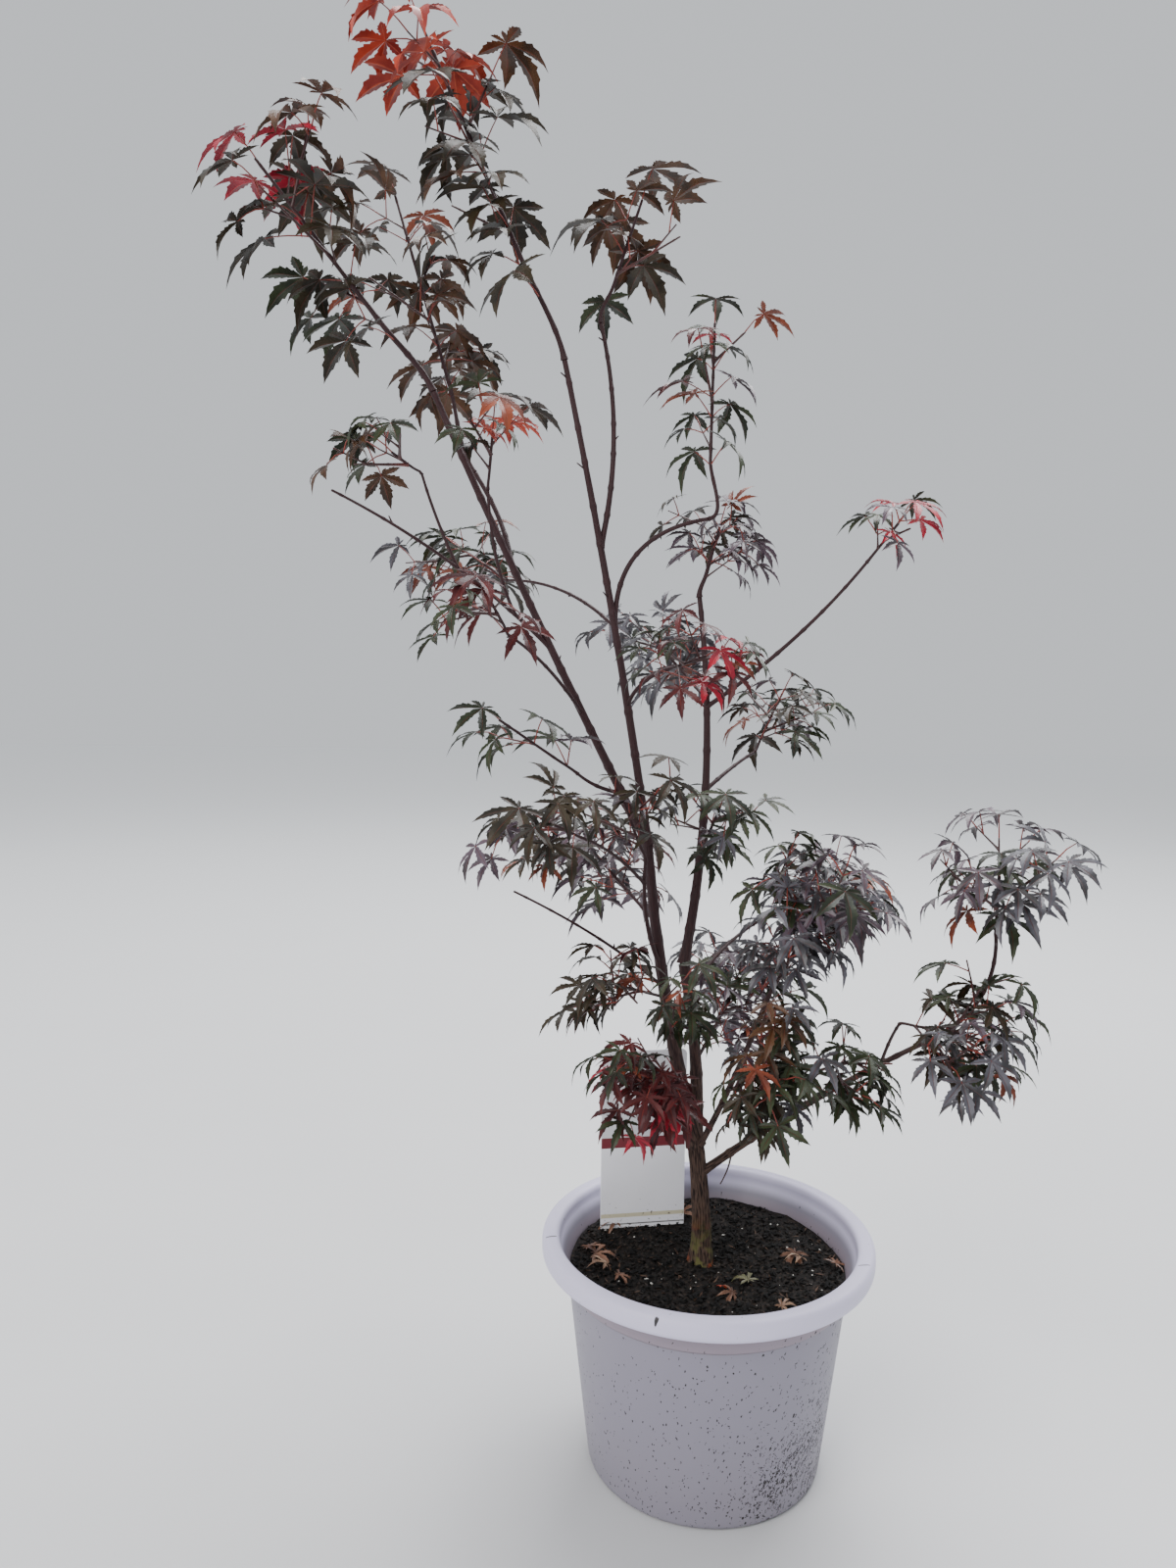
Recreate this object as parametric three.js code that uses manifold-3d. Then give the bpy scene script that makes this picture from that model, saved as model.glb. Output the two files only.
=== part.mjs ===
// A potted Japanese maple: a young tree of several stems, about 1.5 m tall, in a rolled-lip patio pot.
// Millimetres, +Z up. The origin is the middle of the pot's underside, +X is to the right and +Y is
// away from whoever looks at the plant's front.
import * as THREE from "three";
import { mergeVertices } from "three/addons/utils/BufferGeometryUtils.js";
import Module from "manifold-3d";

const wasm = await Module();
wasm.setup();

// Driving sizes of the pot, its filling and the plant label
const POT_HEIGHT = 247;
const RIM_RADIUS = 175;
const RIM_DEPTH = 22;
const BODY_TOP_RADIUS = 150;
const BODY_FOOT_RADIUS = 124;
const WALL = 3;
const FOOT_EDGE = 6;
const RIM_MOUTH_RADIUS = 156;
const POT_SIDES = 28;
const DRAIN_HOLES = 4;
const DRAIN_RADIUS = 7;
const DRAIN_CIRCLE = 86;
const SOIL_LEVEL = 212;

// The lip's outline: how far its corners stand in from its widest circle, or up from its underside
const LIP = { underIn: 4, wideUp: 5, shoulderIn: 1, shoulderUp: 16, crownIn: 7, mouthCrown: 3, mouthDrop: 4 };

// The label stands on the soil by its shoulders, and its spike narrows to a point below them
const LABEL = {
  width: 96,
  height: 206,
  thick: 1.4,
  corner: 6,
  shoulderUp: 1,
  spike: 45,
  spikeWidth: 34,
  at: [-65, 76],
  turn: 9,
};

// Touching pieces keep this much air between their faces
const CLEARANCE = 0.3;

// Driving sizes of the trunk, which leans a little to the left and flares at its foot
const TRUNK = { foot: [-5, 0], reach: [-9, 0, 130], bow: [2, 0, 0], footRadius: 10.5, tipRadius: 8.6 };
const ROOT_FLARE = 4;
const FLARE_POWER = 7;
const FLARE_RIBS = 3;
const TRUNK_SIDES = 10;
const TRUNK_STEPS = 7;

// Limbs thicker than this have eight sides and the others six, with one step for each length
const THICK_LIMB = 4;
const LIMB_STEP = 60;

// How many stretches each limb and stem is measured in when room is looked for
const CURVE_SAMPLES = 24;

// Leaves: the edge of five lobes, as [degrees from the middle lobe, reach as a share of its length]
const LEAF_OUTLINE = [
  [-104, 0.6], [-74, 0.27], [-48, 0.88], [-25, 0.34], [0, 1], [25, 0.34], [48, 0.88], [74, 0.27], [104, 0.6],
];
const LEAF_BASE = 0.1;
const LEAF_THICKNESS = 0.022;
const LEAF_CUP = 0.2;
const LEAF_DROOP = { least: 0.25, more: 0.5 };
const LEAF_ROLL = 0.9;
const STALK_LENGTH = 0.7;
const STALK_RADIUS = 0.75;

// The rule by which a mass grows: sizes vary by chance, and what finds no room is tried further round
const FIRST_SEED = 101;
const SIZE_VARIES = { least: 0.85, more: 0.3 };
const TRIES = 5;
const BARE_START = 0.08;
const PAIR_SPACING = 1.2;
const PAIR_HEADING = { along: 0.6, up: 0.2 };
const PAIR_RETRY_TURN = 0.5;
const TWIG_HEADING = { along: 0.7, up: 0.25 };
const TWIG_LENGTH = { foot: 0.74, less: 0.3 };
const TWIG_TURN = 2.2;
const TWIG_RETRY_TURN = 1.2;
const TWIG_RADIUS = 1.6;
const TWIG_TIP_RADIUS = 1.3;
const ROOM_ROUND_LIMBS = 6;
const ROOM_ON_OWN_LIMB = 1;
const ROOM_ROUND_MASSES = 3;
const LEAF_TO_LEAF = 0.13;

// Stems and boughs: each leaves the one it grows on at a share of its length, and ends its reach away.
// The bow is how far its middle stands off the straight line; foot and tip are radii.
const LIMBS = [
  { name: "left_stem", on: "trunk", at: 1, reach: [-56, -10, 321],
    bow: [-7, 0, 0], foot: 8, tip: 4.9 },
  { name: "right_stem", on: "trunk", at: 1, reach: [-14, 30, 187],
    bow: [6, 3, 0], foot: 7, tip: 5.8 },
  { name: "left_leader", on: "left_stem", at: 1, reach: [-212, -34, 437],
    bow: [-3, -2, -2], foot: 4.6, tip: 3 },
  { name: "middle_leader", on: "left_stem", at: 1, reach: [-89, 0, 475],
    bow: [4, 7, 1], foot: 4.5, tip: 2.7 },
  { name: "right_leader", on: "right_stem", at: 1, reach: [13, 50, 387],
    bow: [16, 8, 0], foot: 5.6, tip: 2.6 },
  { name: "low_right_bough", on: "trunk", at: 0.75, reach: [220, -45, 162],
    bow: [-4, 0, 5], foot: 4.6, tip: 2.5 },
  { name: "low_right_upright", on: "low_right_bough", at: 1, reach: [56, -25, 122],
    bow: [20, -2, -10], foot: 2.5, tip: 1.8 },
  { name: "low_right_side", on: "low_right_bough", at: 0.82, reach: [2, -56, 60],
    bow: [0, 0, 4], foot: 1.8, tip: 1.4 },
  { name: "low_right_twig", on: "low_right_bough", at: 0.45, reach: [18, -42, 60],
    bow: [0, 0, 5], foot: 1.7, tip: 1.3 },
  { name: "right_front_bough", on: "trunk", at: 0.95, reach: [60, -60, 181],
    bow: [-2, -12, -5], foot: 3.6, tip: 2.3 },
  { name: "front_right_bough", on: "right_front_bough", at: 0.36, reach: [12, -66, 54],
    bow: [0, -4, -4], foot: 1.8, tip: 1.4 },
  { name: "right_inner_bough", on: "right_stem", at: 0.84, reach: [84, 123, 45],
    bow: [-3, 0, 5], foot: 2.4, tip: 1.7 },
  { name: "right_bough", on: "right_leader", at: 0.47, reach: [64, 90, 34],
    bow: [0, -8, 4], foot: 2.4, tip: 1.6 },
  { name: "right_reach", on: "right_leader", at: 0.7, reach: [148, -75, 148],
    bow: [8, 2, -4], foot: 2.5, tip: 1.5 },
  { name: "left_side_stem", on: "left_stem", at: 0.6, reach: [-20, -42, 118],
    bow: [-7, -5, -3], foot: 2.6, tip: 1.8 },
  { name: "left_low_reach", on: "left_side_stem", at: 0.82, reach: [-62, -80, 58],
    bow: [0, 0, 6], foot: 1.8, tip: 1.3 },
  { name: "left_bare_bough", on: "left_stem", at: 0.53, reach: [-149, -105, 122],
    bow: [9, -8, 4], foot: 1.8, tip: 1 },
  { name: "left_spur", on: "left_leader", at: 0.124, reach: [-44, -32, 22],
    bow: [-2, 1, -3], foot: 2.2, tip: 1.5 },
  { name: "left_small_bough", on: "left_leader", at: 0.309, reach: [-65, -108, 74],
    bow: [0, -10, 8], foot: 1.9, tip: 1.3 },
  { name: "left_high_bough", on: "left_leader", at: 0.453, reach: [-191, -105, 137],
    bow: [5, 2, 9], foot: 2.3, tip: 1.1 },
  { name: "left_high_side", on: "left_high_bough", at: 0.48, reach: [-32, -5, 84],
    bow: [-3, 0, 3], foot: 1.6, tip: 1.2 },
  { name: "left_cross_stem", on: "left_high_bough", at: 0.2, reach: [-22, -45, 111],
    bow: [-4, -12, -5], foot: 1.7, tip: 1.3 },
  { name: "left_twin", on: "left_leader", at: 0.638, reach: [-40, 42, 93],
    bow: [6, 7, -0.5], foot: 2.6, tip: 2.2 },
  { name: "middle_right", on: "middle_leader", at: 0.294, reach: [36, -45, 37],
    bow: [-5, 0, 4], foot: 2.2, tip: 1.6 },
  { name: "middle_left_bough", on: "middle_leader", at: 0.459, reach: [-119, 175, 55],
    bow: [5, 0, 12], foot: 2.1, tip: 1.4 },
  { name: "arched_bough", on: "middle_leader", at: 0.453, reach: [92, 10, 111],
    bow: [-25, 4, 20], foot: 2.7, tip: 2 },
  { name: "twin_stem", on: "middle_leader", at: 0.6235, reach: [-2, 48, 227],
    bow: [13, 1, 0], foot: 3, tip: 2 },
];

// Masses of leaves: a stem that carries on from a bough's tip, or leaves one of the stems, with side
// twigs and leaves within the spread. Leaf is the length of a leaf's middle lobe.
const MASSES = [
  { name: "left_top_leaves", on: "left_leader", at: 1, reach: [-154, -36, 193], foot: 3,
    twigs: 3, spread: 140, leaf: 54, tint: "olive" },
  { name: "left_twin_leaves", on: "left_twin", at: 1, reach: [-91, 78, 295], foot: 2.2,
    twigs: 4, spread: 120, leaf: 50, tint: "olive" },
  { name: "middle_top_leaves", on: "middle_leader", at: 1, reach: [-137, -30, 298], foot: 2.7,
    twigs: 4, spread: 140, leaf: 56, tint: "olive" },
  { name: "twin_leaves", on: "twin_stem", at: 1, reach: [41, 33, 131], foot: 2,
    twigs: 3, spread: 125, leaf: 52, tint: "olive" },
  { name: "arched_leaves", on: "arched_bough", at: 1, reach: [5, 30, 196], foot: 2,
    twigs: 3, spread: 88, leaf: 40, tint: "plum" },
  { name: "right_leader_leaves", on: "right_leader", at: 1, reach: [24, 30, 80], foot: 2.6,
    twigs: 2, spread: 95, leaf: 40, tint: "plum" },
  { name: "right_reach_leaves", on: "right_reach", at: 1, reach: [24, -24, 36], foot: 1.5,
    twigs: 1, spread: 82, leaf: 38, tint: "crimson" },
  { name: "middle_right_leaves", on: "middle_right", at: 1, reach: [32, -60, 14], foot: 1.6,
    twigs: 2, spread: 82, leaf: 38, tint: "crimson" },
  { name: "back_middle_leaves", on: "right_leader", at: 0.72, reach: [-55, 165, 72], foot: 1.9,
    twigs: 2, spread: 110, leaf: 44, tint: "plum" },
  { name: "right_spur_leaves", on: "right_leader", at: 0.3, reach: [10, -85, 60], foot: 1.9,
    twigs: 2, spread: 92, leaf: 40, tint: "plum" },
  { name: "right_bough_leaves", on: "right_bough", at: 1, reach: [30, 45, 50], foot: 1.6,
    twigs: 2, spread: 110, leaf: 44, tint: "plum" },
  { name: "left_spur_leaves", on: "left_spur", at: 1, reach: [-72, -66, 56], foot: 1.5,
    twigs: 3, spread: 88, leaf: 40, tint: "plum" },
  { name: "left_side_leaves", on: "left_side_stem", at: 1, reach: [-23, -40, 63], foot: 1.8,
    twigs: 2, spread: 100, leaf: 42, tint: "plum" },
  { name: "left_low_reach_leaves", on: "left_low_reach", at: 1, reach: [-36, -45, 24], foot: 1.3,
    twigs: 2, spread: 95, leaf: 42, tint: "plum" },
  { name: "left_high_side_leaves", on: "left_high_side", at: 1, reach: [-24, -22, 16], foot: 1.2,
    twigs: 2, spread: 88, leaf: 40, tint: "olive" },
  { name: "left_cross_leaves", on: "left_cross_stem", at: 1, reach: [6, -20, 49], foot: 1.3,
    twigs: 1, spread: 95, leaf: 42, tint: "olive" },
  { name: "left_small_leaves", on: "left_small_bough", at: 1, reach: [-15, -40, 31], foot: 1.3,
    twigs: 1, spread: 90, leaf: 40, tint: "plum" },
  { name: "middle_left_leaves", on: "middle_left_bough", at: 1, reach: [-63, 70, 43], foot: 1.4,
    twigs: 2, spread: 110, leaf: 47, tint: "plum" },
  { name: "right_inner_leaves", on: "right_inner_bough", at: 1, reach: [115, 70, 34], foot: 1.7,
    twigs: 2, spread: 120, leaf: 47, tint: "plum" },
  { name: "back_left_leaves", on: "left_stem", at: 0.75, reach: [-90, 198, 67], foot: 2,
    twigs: 2, spread: 115, leaf: 46, tint: "plum" },
  { name: "back_right_leaves", on: "right_stem", at: 0.45, reach: [84, 174, 72], foot: 2,
    twigs: 2, spread: 115, leaf: 50, tint: "plum" },
  { name: "right_front_leaves", on: "right_front_bough", at: 1, reach: [46, -48, 118], foot: 2.3,
    twigs: 4, spread: 120, leaf: 42, tint: "plum" },
  { name: "front_right_leaves", on: "front_right_bough", at: 1, reach: [24, -58, 32], foot: 1.4,
    twigs: 4, spread: 105, leaf: 38, tint: "plum" },
  { name: "low_right_upright_leaves", on: "low_right_upright", at: 1, reach: [-6, -20, 56], foot: 1.8,
    twigs: 3, spread: 116, leaf: 42, tint: "plum" },
  { name: "low_right_side_leaves", on: "low_right_side", at: 1, reach: [52, -38, 4], foot: 1.4,
    twigs: 3, spread: 112, leaf: 40, tint: "plum" },
  { name: "low_right_twig_leaves", on: "low_right_twig", at: 1, reach: [26, -38, 26], foot: 1.3,
    twigs: 3, spread: 95, leaf: 40, tint: "plum" },
  { name: "left_bare_side_leaves", on: "left_stem", at: 0.5, reach: [-64, -105, 46], foot: 1.6,
    twigs: 2, spread: 98, leaf: 42, tint: "plum" },
  { name: "left_hanging_leaves", on: "left_stem", at: 0.44, reach: [-6, -146, 24], foot: 1.6,
    twigs: 3, spread: 98, leaf: 40, tint: "plum" },
  { name: "front_left_leaves", on: "left_stem", at: 0.17, reach: [-45, -145, 88], foot: 1.8,
    twigs: 3, spread: 95, leaf: 38, tint: "crimson" },
];

const COLOURS = {
  bark: { color: 0x43302f, roughness: 0.8 },
  olive: { color: 0x2f2a22, roughness: 0.6 },
  plum: { color: 0x5c4c58, roughness: 0.5 },
  crimson: { color: 0x93202c, roughness: 0.55 },
  potPlastic: { color: 0xb6b4c4, roughness: 0.45 },
  soil: { color: 0x1d1714, roughness: 1 },
  label: { color: 0xe4e4e2, roughness: 0.4 },
};

const UP = new THREE.Vector3(0, 0, 1);
const RIGHT = new THREE.Vector3(1, 0, 0);
const vector = ([x, y, z]) => new THREE.Vector3(x, y, z);

// Closed solids, and meshes made from them

function solidOf(geometry) {
  const bare = geometry.clone();
  bare.deleteAttribute("normal");
  bare.deleteAttribute("uv");
  const merged = mergeVertices(bare, 1e-4);
  return new wasm.Manifold(
    new wasm.Mesh({
      numProp: 3,
      vertProperties: new Float32Array(merged.attributes.position.array),
      triVerts: new Uint32Array(merged.index.array),
    }),
  );
}

function geometryOf(solid) {
  const mesh = solid.getMesh();
  const geometry = new THREE.BufferGeometry();
  geometry.setAttribute("position", new THREE.BufferAttribute(new Float32Array(mesh.vertProperties), 3));
  geometry.setIndex(new THREE.BufferAttribute(new Uint32Array(mesh.triVerts), 1));
  geometry.computeVertexNormals();
  return geometry;
}

// The largest body alone: loose scraps and sealed hollows are left behind
function mainBody(solid) {
  return solid.decompose().sort((a, b) => b.volume() - a.volume())[0];
}

const plant = new THREE.Group();

function addPiece(name, solid, colour) {
  const mesh = new THREE.Mesh(geometryOf(solid), new THREE.MeshStandardMaterial(COLOURS[colour]));
  mesh.name = name;
  plant.add(mesh);
}

// A limb is a cylinder drawn along its curve, with a radius for each place along it

function curveFrom(start, reach, bow = [0, 0, 0]) {
  const end = start.clone().add(vector(reach));
  const middle = start.clone().lerp(end, 0.5).addScaledVector(vector(bow), 2);
  return new THREE.QuadraticBezierCurve3(start, middle, end);
}

function tube(curve, radiusAt, sides, steps, overrun = 0) {
  const frames = curve.computeFrenetFrames(steps);
  const geometry = new THREE.CylinderGeometry(1, 1, 1, sides, steps);
  const position = geometry.attributes.position;
  for (let i = 0; i < position.count; i++) {
    const along = position.getY(i) + 0.5;
    const step = Math.round(along * steps);
    const radius = radiusAt(along, Math.atan2(position.getZ(i), position.getX(i)));
    const place = curve
      .getPoint(along)
      .addScaledVector(frames.normals[step], position.getX(i) * radius)
      .addScaledVector(frames.binormals[step], -position.getZ(i) * radius);
    if (step === 0) place.addScaledVector(frames.tangents[0], -overrun);
    if (step === steps) place.addScaledVector(frames.tangents[steps], overrun);
    position.setXYZ(i, place.x, place.y, place.z);
  }
  return solidOf(geometry);
}

const taper = (foot, tip) => (along) => foot + (tip - foot) * along;

const sidesFor = (radius) => (radius > THICK_LIMB ? 8 : 6);
const stepsFor = (curve) => Math.max(2, Math.round(curve.getLength() / LIMB_STEP));

// Every limb that stands so far: its curve, its radius and its shape grown by the clearance
const standing = new Map();

function keepStanding(name, curve, foot, radiusAt, sides, steps) {
  const grownRadiusAt = (along, angle) => radiusAt(along, angle) + CLEARANCE;
  const grown = tube(curve, grownRadiusAt, sides, steps, CLEARANCE);
  standing.set(name, { curve, foot, grown, samples: curve.getPoints(CURVE_SAMPLES) });
}

function clearOfStanding(solid) {
  let cut = solid;
  for (const { grown } of standing.values()) cut = cut.subtract(grown);
  return mainBody(cut);
}

// The trunk: cut flat where it stands on the soil, round above and ribbed where the roots spread

function makeTrunk() {
  const start = new THREE.Vector3(TRUNK.foot[0], TRUNK.foot[1], SOIL_LEVEL + CLEARANCE);
  const curve = curveFrom(start, TRUNK.reach, TRUNK.bow);
  const radiusAt = (along, angle) => {
    const flare = ROOT_FLARE * (1 - along) ** FLARE_POWER * (1 + 0.5 * Math.cos(FLARE_RIBS * angle));
    return taper(TRUNK.footRadius, TRUNK.tipRadius)(along) + flare;
  };
  const below = new THREE.BoxGeometry(100, 100, 20).translate(start.x, start.y, start.z - 10);
  const flatFooted = tube(curve, radiusAt, TRUNK_SIDES, TRUNK_STEPS).subtract(solidOf(below));
  addPiece("trunk", mainBody(flatFooted), "bark");
  keepStanding("trunk", curve, TRUNK.footRadius, radiusAt, TRUNK_SIDES, TRUNK_STEPS);
}

function makeLimb({ name, on, at, reach, bow, foot, tip }) {
  const curve = curveFrom(standing.get(on).curve.getPoint(at), reach, bow);
  const solid = tube(curve, taper(foot, tip), sidesFor(foot), stepsFor(curve));
  addPiece(name, clearOfStanding(solid), "bark");
  keepStanding(name, curve, foot, taper(foot, tip), sidesFor(foot), stepsFor(curve));
}

// Masses of leaves

function seededRandom(seed) {
  let state = seed;
  return () => {
    state = (state * 1664525 + 1013904223) % 4294967296;
    return state / 4294967296;
  };
}

function distanceTo(samples, point) {
  let nearest = Infinity;
  for (const sample of samples) nearest = Math.min(nearest, sample.distanceToSquared(point));
  return Math.sqrt(nearest);
}

// A direction square to another one, turned round it by an angle
function sideways(along, angle) {
  const flat = Math.abs(along.z) < 0.97 ? UP : RIGHT;
  return new THREE.Vector3().crossVectors(along, flat).normalize().applyAxisAngle(along, angle);
}

// A place belongs to the mass whose stem is nearest, and is free where no limb passes
function hasRoom(mass, place) {
  const own = distanceTo(mass.samples, place);
  if (own > mass.row.spread) return false;
  for (const other of masses)
    if (other !== mass && distanceTo(other.samples, place) < own + ROOM_ROUND_MASSES) return false;
  for (const [name, limb] of standing) {
    const room = name === mass.row.on ? ROOM_ON_OWN_LIMB : ROOM_ROUND_LIMBS;
    if (distanceTo(limb.samples, place) < limb.foot + room) return false;
  }
  return true;
}

// A leaf is one closed piece: an upper and a lower face that meet along the lobed edge, and a
// three-sided stalk that runs from the leaf's base into its twig. Its corners are the edge, the
// stalk's three at the base, the three at its foot, and the middle of the upper face.
function leafSolid({ from, root, axis, across, face, size }) {
  const place = (start, forward, aside, above) =>
    start
      .clone()
      .addScaledVector(axis, forward)
      .addScaledVector(across, aside)
      .addScaledVector(face, above);
  const edge = LEAF_OUTLINE.map(([degrees, share]) => {
    const angle = THREE.MathUtils.degToRad(degrees);
    const out = share * size;
    return place(root, Math.cos(angle) * out, Math.sin(angle) * out, -LEAF_CUP * share * out);
  });
  const aside = 0.87 * STALK_RADIUS;
  const back = -LEAF_BASE * size;
  const base = [
    place(root, back, aside, STALK_RADIUS / 2),
    place(root, back, -aside, STALK_RADIUS / 2),
    place(root, back / 2, 0, -STALK_RADIUS),
  ];
  const foot = [
    place(from, 0, aside, STALK_RADIUS / 2),
    place(from, 0, -aside, STALK_RADIUS / 2),
    place(from, 0, 0, -STALK_RADIUS),
  ];
  const corners = [...edge, ...base, ...foot, place(root, 0, 0, LEAF_THICKNESS * size)];
  const left = edge.length;
  const [right, keel, top] = [left + 1, left + 2, left + 6];
  const faces = [top, left, right];
  for (let i = 0; i <= right; i++) {
    const next = (i + 1) % (right + 1);
    if (i !== left) faces.push(top, i, next, keel, next, i);
  }
  for (let i = 0; i < 3; i++) {
    const [here, next] = [left + i, left + ((i + 1) % 3)];
    faces.push(here, here + 3, next + 3, here, next + 3, next);
  }
  faces.push(left + 3, keel + 3, right + 3);
  const geometry = new THREE.BufferGeometry().setFromPoints(corners);
  geometry.setIndex(faces);
  return solidOf(geometry);
}

// Places along the stalk and each lobe, tested for room
function leafSamples({ from, root, axis, across, face, size }) {
  const places = [root, root.clone().lerp(from, 0.4)];
  for (let lobe = 0; lobe < LEAF_OUTLINE.length; lobe += 2) {
    const [degrees, share] = LEAF_OUTLINE[lobe];
    const angle = THREE.MathUtils.degToRad(degrees);
    for (const part of [0.35, 0.7, 1]) {
      const out = part * share * size;
      places.push(
        root
          .clone()
          .addScaledVector(axis, Math.cos(angle) * out)
          .addScaledVector(across, Math.sin(angle) * out)
          .addScaledVector(face, -LEAF_CUP * part * share * share * size),
      );
    }
  }
  return places;
}

const variedSize = (random) => SIZE_VARIES.least + SIZE_VARIES.more * random();

// A leaf lies nearly level beyond its stalk, droops by its own angle and rolls a little to a side
function tryLeaf(mass, from, heading, random) {
  const size = mass.row.leaf * variedSize(random);
  const root = from.clone().addScaledVector(heading, size * STALK_LENGTH);
  const level = new THREE.Vector3(heading.x, heading.y, heading.z / 4).normalize();
  const droop = LEAF_DROOP.least + LEAF_DROOP.more * random();
  const axis = level.clone().addScaledVector(UP, -Math.tan(droop)).normalize();
  const face = UP.clone().addScaledVector(axis, -axis.z).normalize();
  face.applyAxisAngle(axis, LEAF_ROLL * (random() - 0.5));
  const across = new THREE.Vector3().crossVectors(face, axis);
  const leaf = { from, root, axis, across, face, size };
  const samples = leafSamples(leaf);
  const crowded = samples.some((place) => distanceTo(mass.leafSamples, place) < LEAF_TO_LEAF * size);
  if (crowded || !samples.every((place) => hasRoom(mass, place))) return false;
  mass.solids.push(leafSolid(leaf));
  mass.leafSamples.push(...samples);
  return true;
}

// Leaves stand in opposite pairs, each pair a quarter turn on from the last, with one at the end
function leafShoot(mass, curve, random) {
  const spacing = (mass.row.leaf * PAIR_SPACING) / curve.getLength();
  let turn = 2 * Math.PI * random();
  for (let at = 1; at > BARE_START; at -= spacing) {
    const along = curve.getTangent(at);
    const from = curve.getPoint(Math.min(at, 0.97));
    if (at === 1) {
      tryLeaf(mass, from, along, random);
      continue;
    }
    for (const side of [0, Math.PI]) {
      for (let attempt = 0; attempt < TRIES; attempt++) {
        const out = sideways(along, turn + side + PAIR_RETRY_TURN * attempt);
        const heading = out
          .addScaledVector(along, PAIR_HEADING.along)
          .addScaledVector(UP, PAIR_HEADING.up)
          .normalize();
        if (tryLeaf(mass, from, heading, random)) break;
      }
    }
    turn += Math.PI / 2;
  }
}

// Side twigs leave the stem a third of a turn on from each other, and are shorter towards its tip
function growMass(mass) {
  const { row, curve } = mass;
  const random = seededRandom(mass.seed);
  mass.solids.push(tube(curve, taper(row.foot, TWIG_TIP_RADIUS), 4, stepsFor(curve)));
  const shoots = [curve];
  for (let i = 0; i < row.twigs; i++) {
    const at = 0.3 + (0.6 * (i + 0.5)) / row.twigs;
    const along = curve.getTangent(at);
    const length = row.spread * (TWIG_LENGTH.foot - TWIG_LENGTH.less * at) * variedSize(random);
    for (let attempt = 0; attempt < TRIES; attempt++) {
      const out = sideways(along, i * TWIG_TURN + attempt * TWIG_RETRY_TURN + random());
      const reach = out
        .addScaledVector(along, TWIG_HEADING.along)
        .addScaledVector(UP, TWIG_HEADING.up)
        .setLength(length);
      const twig = curveFrom(curve.getPoint(at), reach.toArray());
      if (!twig.getPoints(4).slice(1).every((place) => hasRoom(mass, place))) continue;
      mass.solids.push(tube(twig, taper(TWIG_RADIUS, TWIG_TIP_RADIUS), 3, 1));
      shoots.push(twig);
      break;
    }
  }
  for (const shoot of shoots) leafShoot(mass, shoot, random);
}

// The pot: a tapered tub with a wide rolled lip and drain holes round its floor

function makePot() {
  const under = POT_HEIGHT - RIM_DEPTH;
  const wallTop = BODY_TOP_RADIUS - WALL;
  const profile = [
    [0, 0],
    [BODY_FOOT_RADIUS - FOOT_EDGE, 0],
    [BODY_FOOT_RADIUS, FOOT_EDGE],
    [BODY_TOP_RADIUS, under],
    [RIM_RADIUS - LIP.underIn, under],
    [RIM_RADIUS, under + LIP.wideUp],
    [RIM_RADIUS - LIP.shoulderIn, under + LIP.shoulderUp],
    [RIM_RADIUS - LIP.crownIn, POT_HEIGHT],
    [RIM_MOUTH_RADIUS + LIP.mouthCrown, POT_HEIGHT],
    [RIM_MOUTH_RADIUS, POT_HEIGHT - LIP.mouthDrop],
    [wallTop, under],
    [innerRadiusAt(WALL), WALL],
    [0, WALL],
  ].map(([radius, height]) => new THREE.Vector2(radius, height));
  let pot = solidOf(new THREE.LatheGeometry(profile, POT_SIDES).rotateX(Math.PI / 2));
  for (let i = 0; i < DRAIN_HOLES; i++) {
    const angle = (2 * Math.PI * (i + 0.5)) / DRAIN_HOLES;
    const hole = new THREE.CylinderGeometry(DRAIN_RADIUS, DRAIN_RADIUS, 4 * WALL, 8)
      .rotateX(Math.PI / 2)
      .translate(DRAIN_CIRCLE * Math.cos(angle), DRAIN_CIRCLE * Math.sin(angle), 0);
    pot = pot.subtract(solidOf(hole));
  }
  addPiece("pot", pot, "potPlastic");
}

// The inner wall's radius at a height
function innerRadiusAt(height) {
  const share = height / (POT_HEIGHT - RIM_DEPTH);
  return BODY_FOOT_RADIUS + (BODY_TOP_RADIUS - BODY_FOOT_RADIUS) * share - WALL;
}

// The label: a blank plastic plate on a spike that goes down into the soil

function labelSolid(grow) {
  const half = LABEL.width / 2 + grow;
  const spike = LABEL.spikeWidth / 2 + grow;
  const shoulder = SOIL_LEVEL + LABEL.shoulderUp - grow;
  const top = SOIL_LEVEL + LABEL.height + grow;
  const { corner } = LABEL;
  const outline = new THREE.Shape();
  outline.moveTo(-spike, SOIL_LEVEL - LABEL.spike * 0.5);
  outline.lineTo(0, SOIL_LEVEL - LABEL.spike - grow);
  outline.lineTo(spike, SOIL_LEVEL - LABEL.spike * 0.5);
  outline.lineTo(spike, shoulder);
  outline.lineTo(half, shoulder);
  outline.lineTo(half, top - corner);
  outline.absarc(half - corner, top - corner, corner, 0, Math.PI / 2, false);
  outline.absarc(-half + corner, top - corner, corner, Math.PI / 2, Math.PI, false);
  outline.lineTo(-half, shoulder);
  outline.lineTo(-spike, shoulder);
  outline.closePath();
  const depth = LABEL.thick + 2 * grow;
  const plate = new THREE.ExtrudeGeometry(outline, { depth, bevelEnabled: false, curveSegments: 3 })
    .translate(0, 0, -depth / 2)
    .rotateX(Math.PI / 2)
    .rotateZ(THREE.MathUtils.degToRad(LABEL.turn))
    .translate(LABEL.at[0], LABEL.at[1], 0);
  return solidOf(plate);
}

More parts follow.
